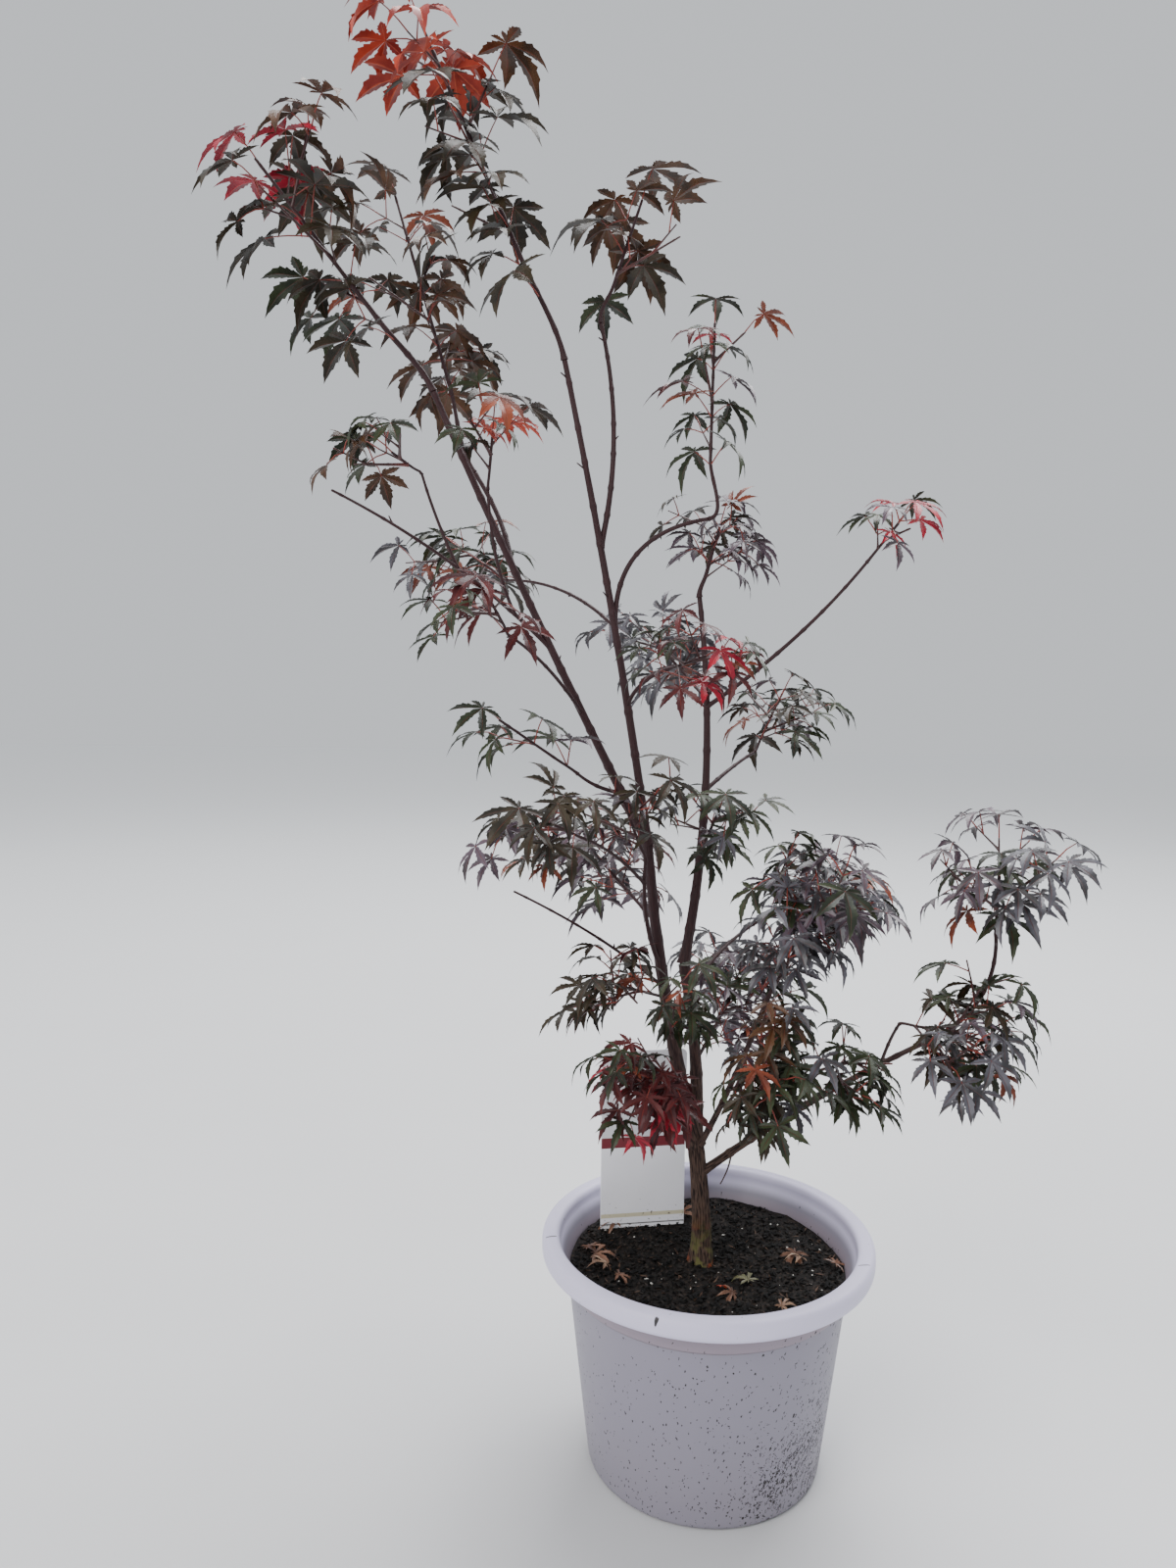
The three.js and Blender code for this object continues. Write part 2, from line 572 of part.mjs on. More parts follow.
// The soil fills the pot to a level surface, and is parted where the label's spike goes in
function makeSoil() {
  const floor = WALL + CLEARANCE;
  const profile = [
    [0, floor],
    [innerRadiusAt(floor) - 2 * CLEARANCE, floor],
    [innerRadiusAt(SOIL_LEVEL) - 2 * CLEARANCE, SOIL_LEVEL],
    [0, SOIL_LEVEL],
  ].map(([radius, height]) => new THREE.Vector2(radius, height));
  const filling = solidOf(new THREE.LatheGeometry(profile, POT_SIDES).rotateX(Math.PI / 2));
  addPiece("soil", filling.subtract(labelSolid(CLEARANCE)), "soil");
}

makePot();
makeSoil();
addPiece("label", labelSolid(0), "label");
makeTrunk();
LIMBS.forEach(makeLimb);

const masses = MASSES.map((row, index) => {
  const curve = curveFrom(standing.get(row.on).curve.getPoint(row.at), row.reach);
  const samples = curve.getPoints(CURVE_SAMPLES);
  return { row, seed: FIRST_SEED + index, curve, samples, solids: [], leafSamples: [] };
});

for (const mass of masses) {
  growMass(mass);
  const joined = mass.solids.reduce((whole, solid) => whole.add(solid));
  addPiece(mass.row.name, mainBody(joined.subtract(standing.get(mass.row.on).grown)), mass.row.tint);
}

export default plant;
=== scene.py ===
"""The looks of a potted Japanese maple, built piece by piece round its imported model.

Sizes are in millimetres as in the part's source, and become metres where a mesh is made. Places
and widths in a finish are in metres, as a shader takes them.
"""

import math

import bpy
import numpy as np
from mathutils import Matrix, Quaternion, Vector
from mathutils import noise as ripple


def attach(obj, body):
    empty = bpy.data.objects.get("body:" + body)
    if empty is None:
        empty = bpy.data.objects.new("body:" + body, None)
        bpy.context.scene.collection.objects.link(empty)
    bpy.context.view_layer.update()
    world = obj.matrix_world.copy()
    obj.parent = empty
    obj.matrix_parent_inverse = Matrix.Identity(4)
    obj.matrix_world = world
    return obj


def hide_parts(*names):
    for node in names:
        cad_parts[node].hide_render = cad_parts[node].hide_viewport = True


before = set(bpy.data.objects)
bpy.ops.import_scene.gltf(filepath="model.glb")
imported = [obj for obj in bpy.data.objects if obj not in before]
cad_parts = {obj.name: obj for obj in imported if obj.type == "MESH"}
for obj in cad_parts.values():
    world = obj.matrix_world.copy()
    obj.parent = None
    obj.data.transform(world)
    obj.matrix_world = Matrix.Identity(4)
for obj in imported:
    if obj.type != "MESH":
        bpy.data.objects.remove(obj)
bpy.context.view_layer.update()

# Camera
# It stands where the photograph was taken from: at chest height in front of the plant, looking a
# little down, and level to within a degree.
CAMERA_PLACE = (-0.1317, -1.1913, 0.8583)
CAMERA_DOWN = 6.45
CAMERA_ROLL = 0.63
CAMERA_SENSOR = 36
CAMERA_LENS = 27.05

camera = bpy.data.objects.new("camera", bpy.data.cameras.new("camera"))
camera.data.sensor_width = CAMERA_SENSOR
camera.data.lens = CAMERA_LENS
camera.matrix_world = (
    Matrix.Translation(CAMERA_PLACE)
    @ Matrix.Rotation(math.radians(90 - CAMERA_DOWN), 4, "X")
    @ Matrix.Rotation(math.radians(CAMERA_ROLL), 4, "Z")
)
bpy.context.collection.objects.link(camera)
bpy.context.scene.camera = camera

# Lights
# A pale overcast room light, one broad soft light above and behind that puts a sheen on the leaves,
# and a weaker one from the front left.
SKY = (0.88, 0.91, 0.95, 1)
SKY_STRENGTH = 0.8
# Rows are a light's place, what it is aimed at, its size, watts and tint
LAMPS = {
    "top_light": ((0.6, 1.2, 3.4), (0, 0, 0.8), 2.6, 210, (0.97, 0.98, 1)),
    "front_light": ((-1.9, -2.4, 2.4), (0, 0, 0.6), 2.2, 85, (1, 0.98, 0.95)),
}

world = bpy.data.worlds.new("studio")
world.use_nodes = True
world.node_tree.nodes["Background"].inputs["Color"].default_value = SKY
world.node_tree.nodes["Background"].inputs["Strength"].default_value = SKY_STRENGTH
bpy.context.scene.world = world

for name, (place, aim, size, watts, tint) in LAMPS.items():
    light = bpy.data.lights.new(name, "AREA")
    light.size = size
    light.energy = watts
    light.color = tint
    lamp = bpy.data.objects.new(name, light)
    lamp.location = place
    lamp.rotation_euler = (Vector(aim) - Vector(place)).to_track_quat("-Z", "Y").to_euler()
    bpy.context.collection.objects.link(lamp)


# Floor
# A plain pale studio floor, faintly mottled, that the pot stands on. The shader maths that every
# finish below is written in comes here, with its first use.
class Wire:
    """A socket of a material's nodes, so that shader maths reads as ordinary expressions."""

    def __init__(self, tree, socket):
        self.tree, self.socket = tree, socket

    def node(self, kind, inputs, settings=None, output=0):
        """Add a node of a kind: its settings first, then the values or links of its sockets."""
        made = self.tree.nodes.new("ShaderNode" + kind)
        for name, value in (settings or {}).items():
            setattr(made, name, value)
        for name, value in inputs.items():
            if isinstance(value, Wire):
                self.tree.links.new(value.socket, made.inputs[name])
            else:
                made.inputs[name].default_value = value
        return Wire(self.tree, made.outputs[output])

    def maths(self, operation, first, second):
        return self.node("Math", {0: first, 1: second}, {"operation": operation})

    def __add__(self, other):
        return self.maths("ADD", self, other)

    def __radd__(self, other):
        return self.maths("ADD", other, self)

    def __sub__(self, other):
        return self.maths("SUBTRACT", self, other)

    def __rsub__(self, other):
        return self.maths("SUBTRACT", other, self)

    def __mul__(self, other):
        return self.maths("MULTIPLY", self, other)

    def __rmul__(self, other):
        return self.maths("MULTIPLY", other, self)


def ink(red, green, blue):
    """A colour as a screen shows it, from 0 to 255, in the linear light that shaders take."""
    linear = [((shown / 255 + 0.055) / 1.055) ** 2.4 for shown in (red, green, blue)]
    return (*linear, 1)


def rise(value, start, end):
    """From 0 to 1, smoothly, as the value goes from start to end."""
    ends = {"Value": value, "From Min": start, "From Max": end}
    return value.node("MapRange", ends, {"interpolation_type": "SMOOTHSTEP"})


def blend(mask, bare, covered):
    """One colour where the mask is 0 and the other where it is 1."""
    return mask.node("Mix", {0: mask, 6: bare, 7: covered}, {"data_type": "RGBA"}, output=2)


def vectors(operation, first, second=(0, 0, 0), output="Vector"):
    """Vector maths on two places, or on one, with a vector or a number as its result."""
    return first.node("VectorMath", {0: first, 1: second}, {"operation": operation}, output)


def coordinate(place, axis):
    return place.node("SeparateXYZ", {"Vector": place}, output=axis)


def cloud(place, scale, detail=3.0):
    """Soft noise from 0 to 1, with lumps about 1 / scale across."""
    return place.node("TexNoise", {"Vector": place, "Scale": scale, "Detail": detail})


def relief(height, depth, strength=1.0):
    """Bumps as deep as a depth in metres, where the height goes from 0 to 1."""
    return height.node("Bump", {"Height": height, "Distance": depth, "Strength": strength})


def finish(name, paint, constants=None):
    """A material, from what varies over its surface and what is the same all over it."""
    material = bpy.data.materials.new(name)
    material.use_nodes = True
    tree = material.node_tree
    shader = tree.nodes["Principled BSDF"]
    for socket, value in (constants or {}).items():
        shader.inputs[socket].default_value = value
    place = Wire(tree, tree.nodes.new("ShaderNodeTexCoord").outputs["Object"])
    for socket, wire in paint(place).items():
        tree.links.new(wire.socket, shader.inputs[socket])
    return material


FLOOR_GREYS = (ink(204, 204, 205), ink(210, 210, 211))
FLOOR_FAR = (0.98, 0.985, 0.99, 1)
FLOOR_FADE = (0.6, 4.5)
FLOOR_HALF = 9.0
FLOOR_DROP = 0.0005
SQUARE = ((-1, -1), (1, -1), (1, 1), (-1, 1))


def floor_paint(place):
    """Darker near the pot, and nearly white far away, so that the horizon stays soft."""
    away = vectors("LENGTH", place, output="Value")
    near = blend(cloud(place, 3), *FLOOR_GREYS)
    return {"Base Color": blend(rise(away, *FLOOR_FADE), near, FLOOR_FAR)}


floor_mesh = bpy.data.meshes.new("floor")
floor_corners = [(x * FLOOR_HALF, y * FLOOR_HALF, -FLOOR_DROP) for x, y in SQUARE]
floor_mesh.from_pydata(floor_corners, [], [(0, 1, 2, 3)])
floor_mesh.materials.append(finish("floor_paint", floor_paint, {"Roughness": 0.8}))
floor = bpy.data.objects.new("floor", floor_mesh)
bpy.context.collection.objects.link(floor)

# Pot
# A patio pot of lilac-grey plastic, injection moulded in one piece, with a wide rolled lip and a low
# step under it. The lip's paler colour is painted light, and the darker body and inside painted shade.
# Soil has splashed it, most of all low on its right side.
MM = 0.001
POT_HEIGHT = 247
RIM_RADIUS = 175
LIP_HALF = (9.5, 11)
LIP_MIDDLE = (RIM_RADIUS - LIP_HALF[0], POT_HEIGHT - LIP_HALF[1])
LIP_SQUARENESS = 0.6
LIP_UNDERSIDE = 225
STEP_HEIGHT = 200
POT_FOOT_RADIUS = 124
POT_TOP_RADIUS = 150
POT_WALL = 3
POT_LEAN = 0.12
POT_TURNS = 144
DRAIN_HOLES = 4
DRAIN_CIRCLE = 86
DRAIN_RADIUS = 7
DRAIN_SIDES = 24


def make_piece(name, corners, faces, finishes, slot, finish_of_face=None, marks=None, sharp=40):
    """A mesh piece from corners in millimetres, which rides on the part's one body.

    Marks are numbers that belong to the corners and that a finish reads by their name.
    """
    mesh = bpy.data.meshes.new(name)
    faces = faces.tolist() if isinstance(faces, np.ndarray) else faces
    mesh.from_pydata((np.asarray(corners, dtype=float) * MM).tolist(), [], faces)
    mesh.shade_smooth()
    mesh.set_sharp_from_angle(angle=math.radians(sharp))
    for material in finishes:
        mesh.materials.append(material)
    if finish_of_face is not None:
        mesh.polygons.foreach_set("material_index", np.asarray(finish_of_face, dtype=np.int32))
    for mark, values in (marks or {}).items():
        values = np.asarray(values, dtype=np.float32)
        kind, field = ("FLOAT", "value") if values.ndim == 1 else ("FLOAT_VECTOR", "vector")
        mesh.attributes.new(mark, kind, "POINT").data.foreach_set(field, values.ravel())
    piece = bpy.data.objects.new(name, mesh)
    bpy.context.collection.objects.link(piece)
    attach(piece, "root")
    return piece


def turned(profile, turns):
    """Corners and faces of an outline of (radius, height) turned round the upright axis.

    A radius of 0 at either end closes it in one corner.
    """
    angles = np.arange(turns) * 2 * math.pi / turns
    ring = np.stack([np.cos(angles), np.sin(angles), np.zeros(turns)], axis=1)
    corners = np.concatenate([ring * radius + (0, 0, height) for radius, height in profile[1:-1]])
    corners = np.concatenate([corners, [(0, 0, profile[0][1]), (0, 0, profile[-1][1])]])
    faces = []
    last = len(profile) - 3
    for row in range(last):
        for i in range(turns):
            j = (i + 1) % turns
            low, high = row * turns, (row + 1) * turns
            faces.append((low + i, low + j, high + j, high + i))
    start, end = len(corners) - 2, len(corners) - 1
    for i in range(turns):
        j = (i + 1) % turns
        faces.append((start, j, i))
        faces.append((end, last * turns + i, last * turns + j))
    return corners, faces


def lip_point(angle):
    """The lip's rounded outline: angle 0 is its outermost place, and a quarter turn its top."""
    def squarish(value):
        return math.copysign(abs(value) ** LIP_SQUARENESS, value)
    return (
        LIP_MIDDLE[0] + LIP_HALF[0] * squarish(math.cos(angle)),
        LIP_MIDDLE[1] + LIP_HALF[1] * squarish(math.sin(angle)),
    )


def inner_radius(height):
    """The pot's inner wall at a height."""
    return POT_FOOT_RADIUS + (POT_TOP_RADIUS - POT_FOOT_RADIUS) * height / LIP_UNDERSIDE - POT_WALL


# The outline goes from the underside's middle up the outside, over the lip and down the inside
pot_profile = [(0, 0), (110, 0), (118, 0), (121, 0.8), (123.2, 2.8), (124.2, 6)]
pot_profile += [(130, 54), (136, 106), (142, 158), (146.7, STEP_HEIGHT - 3), (146.9, STEP_HEIGHT)]
pot_profile += [(148.9, STEP_HEIGHT + 1), (149.5, STEP_HEIGHT + 2.4)]
pot_profile += [(150.6, 222), (151.2, 224.4), (153, LIP_UNDERSIDE)]
pot_profile += [lip_point(math.radians(angle)) for angle in range(-90, 181, 9)]
pot_profile += [(154.6, 233), (152.2, 227.5), (149.2, 220.5), (147.2, 216), (145.5, 211)]
pot_profile += [(inner_radius(POT_WALL), POT_WALL), (0, POT_WALL)]

# Rows are how fine the specks lie, a speck's size, the share of places that have one, and its tilt
SPECKS = ((150, 0.22, 0.02, 0.5), (260, 0.3, 0.1, -0.4), (430, 0.38, 0.26, 0.1))
SPECK_LENGTH = 2.3
SPECKS_ON_LEFT = 0.25
CAKED_PLACE = (0.088, -0.088, 0.042)
CAKED_REACH = 0.105


def pot_splashes(place):
    """Where specks of soil have dried on the pot: few all over, and caked low on its right side."""
    height = coordinate(place, "Z")
    to_the_right = rise(coordinate(place, "X") - 1.1 * height, -0.3, 0.05)
    density = SPECKS_ON_LEFT + (1 - SPECKS_ON_LEFT) * to_the_right
    below_lip = 1 - rise(height, 0.2, 0.222)
    wavy = vectors("ADD", place, cloud(place, 90, 2))
    bent = vectors("ADD", place, 0.007 * cloud(place, 230, 1))
    from_corner = vectors("DISTANCE", place, CAKED_PLACE, "Value")
    caked = (1 - rise(from_corner, 0.01, CAKED_REACH)) * rise(cloud(wavy, 22, 3), 0.4, 0.6)
    specks = 0
    for scale, size, share, tilt in SPECKS:
        drawn_out = {"Vector": bent, "Rotation": (0, tilt, 0), "Scale": (1, 1, SPECK_LENGTH)}
        cells = {"Vector": place.node("Mapping", drawn_out, {"vector_type": "TEXTURE"}), "Scale": scale}
        near = place.node("TexVoronoi", cells, output="Distance")
        chance = place.node("SeparateColor", {"Color": place.node("TexVoronoi", cells, output="Color")})
        there = 1 - rise(chance - (share * below_lip * density + 1.3 * caked), -0.02, 0.02)
        edge = near + 0.35 * cloud(place, 700, 2) - 0.2 * caked
        specks = specks + there * (1 - rise(edge, size + 0.04, size + 0.14))
    return rise(specks, 0.15, 0.6)


# Rows are a scratch's middle, direction, half length and half width, in metres
SCRATCHES = (
    ((-0.1665, -0.016, 0.247), (0.97, 0.24, 0), 0.008, 0.001),
    ((-0.063, -0.1615, 0.2395), (0.1, -0.2, 0.97), 0.0065, 0.0021),
    ((-0.118, -0.127, 0.236), (0.3, -0.1, 0.95), 0.004, 0.001),
    ((0.1515, -0.067, 0.247), (0.99, 0.1, 0), 0.007, 0.0008),
    ((0.1735, -0.005, 0.243), (0.9, 0, -0.4), 0.006, 0.0008),
)


def scratch(place, middle, along, half_length, half_width):
    """A short dark hairline, from the distance to a line through its middle."""
    off = vectors("SUBTRACT", place, middle)
    run = vectors("DOT_PRODUCT", off, along, "Value")
    line = run.node("CombineXYZ", {axis: run * part for axis, part in zip("XYZ", along)})
    aside = vectors("DISTANCE", off, line, "Value") + 0.0006 * cloud(place, 400, 1)
    from_middle = vectors("LENGTH", off, output="Value")
    narrow = 1 - rise(aside, half_width, half_width + 0.0004)
    return narrow * (1 - rise(from_middle, 0.8 * half_length, half_length))


# The lip is painted paler than the body and inside: painted light on top, painted shade below and within.
POT_LIT_LIP = (ink(208, 203, 228), ink(216, 211, 236))
POT_SHADED_BODY = ink(157, 147, 164)
POT_SHADED_INSIDE = ink(140, 136, 150)
# Darker and warmer, in patches, towards the pot's foot.
POT_FOOT_TONE = ink(146, 138, 144)
# Painted shade on the band under the lip, and a painted shadow on the wall just under the step.
POT_UNDER_LIP_SHADE = ink(146, 126, 132)
POT_STEP_SHADOW = ink(104, 90, 92)
POT_SPECK = ink(40, 34, 32)
POT_SCRATCH = ink(40, 36, 38)


def pot_paint(place):
    """Painted light on the lip, painted shade on body and inside, darker at the foot, and painted shade
    under lip and step.
    """
    height = coordinate(place, "Z")
    flat = vectors("MULTIPLY", place, (1, 1, 0))
    foot_radius = vectors("LENGTH", flat, output="Value") - POT_LEAN * height
    step, lip = STEP_HEIGHT * MM, LIP_UNDERSIDE * MM
    inside = 1 - rise(foot_radius, 0.1235, 0.127)
    below_lip = 1 - rise(height, lip - 0.007, lip + 0.001)
    step_to_lip = 1 - rise(height, lip - 0.009, lip + 0.001)
    on_the_step = rise(height, step, step + 0.0012)
    under_the_step = rise(height, step - 0.0016, step) * (1 - on_the_step)
    splashes = pot_splashes(place)
    hairlines = sum(scratch(place, *row) for row in SCRATCHES)
    # Painted light on the lip, over a body and inside darkened as painted shade.
    lit_lip = blend(cloud(place, 7), *POT_LIT_LIP)
    lit_and_shaded = blend(inside, blend(below_lip, lit_lip, POT_SHADED_BODY), POT_SHADED_INSIDE)
    # Darker and warmer in patches towards the foot.
    darker_at_foot = blend(0.5 * rise(height, 0.14, 0) * cloud(place, 22), lit_and_shaded, POT_FOOT_TONE)
    # Painted shade under the lip, then a painted shadow just under the step.
    shaded_under_lip = blend(0.4 * on_the_step * step_to_lip, darker_at_foot, POT_UNDER_LIP_SHADE)
    shadowed_under_step = blend(0.75 * under_the_step, shaded_under_lip, POT_STEP_SHADOW)
    splashed = blend(0.95 * splashes, shadowed_under_step, POT_SPECK)
    return {
        "Base Color": blend(hairlines, splashed, POT_SCRATCH),
        "Roughness": 0.38 + 0.16 * cloud(place, 60) + 0.3 * splashes,
        "Normal": relief(cloud(place, 900, 2), 0.0001, 0.35),
    }


def cut_drain_holes(piece):
    """Cut the round holes through the pot's floor, and keep the cut mesh."""
    depth = 3 * POT_WALL
    profile = [(0, -depth), (DRAIN_RADIUS, -depth), (DRAIN_RADIUS, depth), (0, depth)]
    plug, plug_faces = turned(profile, DRAIN_SIDES)
    corners, faces = [], []
    for hole in range(DRAIN_HOLES):
        angle = 2 * math.pi * (hole + 0.5) / DRAIN_HOLES
        corners.append(plug + DRAIN_CIRCLE * np.array([math.cos(angle), math.sin(angle), 0]))
        faces += [[corner + hole * len(plug) for corner in face] for face in plug_faces]
    cutter_mesh = bpy.data.meshes.new("drain_holes")
    cutter_mesh.from_pydata((np.concatenate(corners) * MM).tolist(), [], faces)
    cutter = bpy.data.objects.new("drain_holes", cutter_mesh)
    bpy.context.collection.objects.link(cutter)
    cut = piece.modifiers.new("drain_holes", "BOOLEAN")
    cut.object = cutter
    shaped = piece.evaluated_get(bpy.context.evaluated_depsgraph_get())
    piece.data = bpy.data.meshes.new_from_object(shaped)
    piece.modifiers.remove(cut)
    bpy.data.objects.remove(cutter)


pot_finish = finish("pot_plastic", pot_paint)
pot = make_piece("pot_shell", *turned(pot_profile, POT_TURNS), [pot_finish], "pot_plastic", sharp=50)
cut_drain_holes(pot)
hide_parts("pot")

# Soil
# Nearly black potting compost, loose and damp, filled to a few centimetres below the rim. Bark
# fibre, crumbs and white grit lie on it.
SOIL_LEVEL = 212
SOIL_EDGE = 145.1
SOIL_RINGS = 60
SOIL_TURNS = 160
SOIL_BOTTOM = POT_WALL + 0.4
SOIL_BOTTOM_RADIUS = inner_radius(4) - 0.6
SOIL_SINK = 1.2
SOIL_BACK_RISE = 3.5
# Rows are height, width, and a number that sets each layer apart
SOIL_LUMPS = ((2.4, 26, 1.7), (1.3, 8, 4.2))
SOIL_GRAINS = (0.8, 2.6, 9.1)
MOUND_HEIGHT = 3.0
MOUND_RADIUS = 30
TRUNK_FOOT = (-5, 0)


def unevenness(x, y, height, width, layer):
    """Smooth lumps of a height and a width, which lie differently in each layer."""
    return height * ripple.noise((x / width, y / width, layer))


def soil_height(x, y):
    """The surface rises a little at the back and round the trunk, and is lumpy all over."""
    lumps = sum(unevenness(x, y, *lump) for lump in SOIL_LUMPS)
    from_trunk = math.hypot(x - TRUNK_FOOT[0], y - TRUNK_FOOT[1])
    mound = MOUND_HEIGHT * math.exp(-((from_trunk / MOUND_RADIUS) ** 2))
    return SOIL_LEVEL - SOIL_SINK + lumps + mound + SOIL_BACK_RISE * max(0, y / SOIL_EDGE)


def soil_bed():
    """The filling: a lumpy top over a plain side and bottom that the pot hides."""
    angles = [2 * math.pi * turn / SOIL_TURNS for turn in range(SOIL_TURNS)]
    corners = [(0, 0, soil_height(0, 0))]
    for ring in range(1, SOIL_RINGS + 1):
        radius = SOIL_EDGE * ring / SOIL_RINGS
        for angle in angles:
            x, y = radius * math.cos(angle), radius * math.sin(angle)
            grains = unevenness(x, y, *SOIL_GRAINS) if ring < SOIL_RINGS else 0
            corners.append((x, y, soil_height(x, y) + grains))
    for angle in angles:
        x, y = SOIL_BOTTOM_RADIUS * math.cos(angle), SOIL_BOTTOM_RADIUS * math.sin(angle)
        corners.append((x, y, SOIL_BOTTOM))
    corners.append((0, 0, SOIL_BOTTOM))
    faces = []
    bottom = 1 + SOIL_RINGS * SOIL_TURNS
    for i in range(SOIL_TURNS):
        j = (i + 1) % SOIL_TURNS
        faces.append((0, 1 + i, 1 + j))
        for low in range(1, bottom, SOIL_TURNS):
            high = low + SOIL_TURNS
            faces.append((low + i, high + i, high + j, low + j))
        faces.append((bottom + i, len(corners) - 1, bottom + j))
    return corners, faces


def soil_paint(place):
    """Nearly black, with paler crumbs in it."""
    damp = blend(cloud(place, 45), ink(14, 11, 10), ink(30, 25, 22))
    crumbs = blend(rise(cloud(place, 260, 4), 0.54, 0.7), damp, ink(56, 44, 36))
    lumps = cloud(place, 380, 5)
    return {
        "Base Color": crumbs,
        "Roughness": 0.62 + 0.35 * cloud(place, 120),
        "Normal": relief(lumps, 0.0018, 0.9),
    }


DAMP_SHEEN = {"Specular IOR Level": 0.25}

soil_finish = finish("potting_soil", soil_paint, DAMP_SHEEN)
soil = make_piece("soil_bed", *soil_bed(), [soil_finish], "potting_soil")
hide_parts("soil")


def between(ends, share):
    """A value that goes from one end to the other as the share goes from 0 to 1."""
    return ends[0] + (ends[1] - ends[0]) * share


def turns_at_random(count, luck):
    """Rotation matrices that point every way alike."""
    spins = luck.normal(size=(count, 4))
    w, x, y, z = (spins / np.linalg.norm(spins, axis=1, keepdims=True)).T
    rows = [
        [1 - 2 * (y * y + z * z), 2 * (x * y - z * w), 2 * (x * z + y * w)],
        [2 * (x * y + z * w), 1 - 2 * (x * x + z * z), 2 * (y * z - x * w)],
        [2 * (x * z - y * w), 2 * (y * z + x * w), 1 - 2 * (x * x + y * y)],
    ]
    return np.moveaxis(np.array(rows), 2, 0)


LUMP = np.array([(1, 0, 0), (-1, 0, 0), (0, 1, 0), (0, -1, 0), (0, 0, 1), (0, 0, -1)], dtype=float)
LUMP_SIDES = [(0, 2, 4), (2, 1, 4), (1, 3, 4), (3, 0, 4), (2, 0, 5), (1, 2, 5), (3, 1, 5), (0, 3, 5)]
LUMP_UNEVENNESS = 0.18
LUMP_PRESSED = 0.6
BARE_EDGE = 3


def scattered_chips(count, lengths, flatness, lift, luck):
    """Small broken pieces on the soil: each is an uneven eight-faced lump, pressed a little flat.

    Flatness is a chip's width and thickness as shares of its length, and lift is how high its
    middle lies above the soil, as another share.
    """
    corners_each = len(LUMP)
    uneven = LUMP[None] * luck.uniform(0.7, 1.2, (count, corners_each, 1))
    uneven = uneven + luck.normal(0, LUMP_UNEVENNESS, (count, corners_each, 3))
    length = between(lengths, luck.uniform(0, 1, (count, 1, 1)) ** 2)
    shapes = uneven * length * np.array([1, *flatness]) / 2
    spins = turns_at_random(count, luck)
    spins[:, 2] *= LUMP_PRESSED
    shapes = np.einsum("nij,nkj->nki", spins, shapes)
    radius = (SOIL_EDGE - BARE_EDGE) * np.sqrt(luck.uniform(0.003, 1, count))
    angle = luck.uniform(0, 2 * math.pi, count)
    x, y = radius * np.cos(angle), radius * np.sin(angle)
    heights = np.array([soil_height(*spot) for spot in zip(x, y)]) + lift * length[:, 0, 0]
    corners = (shapes + np.stack([x, y, heights], axis=1)[:, None]).reshape(-1, 3)
    faces = (np.array(LUMP_SIDES)[None] + corners_each * np.arange(count)[:, None, None]).reshape(-1, 3)
    return corners, faces


def crumb_paint(place):
    """Black, with dark brown patches."""
    return {
        "Base Color": blend(rise(cloud(place, 110), 0.48, 0.7), ink(7, 6, 5), ink(48, 41, 37)),
        "Roughness": 0.55 + 0.4 * cloud(place, 300),
        "Normal": relief(cloud(place, 900), 0.0005),
    }


def bark_fibre_paint(place):
    """Brown shreds, some darker and some paler."""
    return {
        "Base Color": blend(cloud(place, 90), ink(44, 30, 24), ink(96, 70, 52)),
        "Roughness": 0.6 + 0.3 * cloud(place, 300),
    }


def grit_paint(place):
    """Off-white stone."""
    return {"Base Color": blend(cloud(place, 500), ink(176, 172, 164), ink(232, 230, 224))}


# Rows are how many there are, the shortest and longest, flatness, lift, and what the finish takes
CHIPS = {
    "soil_crumbs": (4600, (2.6, 11), (0.62, 0.5), 0.14, crumb_paint, DAMP_SHEEN),
    "bark_fibre": (300, (4, 15), (0.2, 0.13), 0.12, bark_fibre_paint, {}),
    "white_grit": (70, (1.6, 4.4), (0.8, 0.6), 0.3, grit_paint, {"Roughness": 0.8}),
}

soil_luck = np.random.default_rng(11)
for name, (count, lengths, flatness, lift, paint, constants) in CHIPS.items():
    corners, faces = scattered_chips(count, lengths, flatness, lift, soil_luck)
    make_piece(name, corners, faces, [finish(name, paint, constants)], "potting_soil")

# Label
# A stiff blank plastic plant label, pushed into the soil on its spike: white below, with a cream
# stripe and a thin grey line, and pale grey above a dark red band.
LABEL_WIDTH = 96
LABEL_HEIGHT = 206
LABEL_THICK = 1.4
LABEL_BOW = 1.6
LABEL_CORNER = 6
LABEL_EDGE = 0.35
LABEL_SHOULDER = 1
LABEL_SPIKE = 45
LABEL_SPIKE_WIDTH = 34
LABEL_PLACE = (-65, 76)
LABEL_TURN = 9
LABEL_SIDES = 8
# Rows are a band's top, from the soil up, and its colour
LABEL_BANDS = (
    (4.5, "label_white"),
    (6, "label_line"),
    (13, "label_white"),
    (17.5, "label_cream"),
    (94, "label_white"),
    (106, "label_red"),
    (LABEL_HEIGHT, "label_grey"),
)


def label_half_width(height):
    """Half the label's width at a height above its shoulders."""
    into_corner = max(0, LABEL_CORNER - (LABEL_HEIGHT - height))
    return LABEL_WIDTH / 2 - LABEL_CORNER + math.sqrt(max(0, LABEL_CORNER**2 - into_corner**2))


def label_rows():
    """Height and half width of each row of corners, from the spike's point to the top."""
    rows = [(-LABEL_SPIKE, 0.4), (-LABEL_SPIKE / 2, LABEL_SPIKE_WIDTH / 2)]
    rows.append((LABEL_SHOULDER, LABEL_SPIKE_WIDTH / 2))
    heights = {LABEL_SHOULDER, *(top for top, _ in LABEL_BANDS), *range(30, 200, 20)}
    for angle in range(0, 91, 15):
        heights.add(LABEL_HEIGHT - LABEL_CORNER * (1 - math.sin(math.radians(angle))))
    return rows + [(height, label_half_width(height)) for height in sorted(heights)]


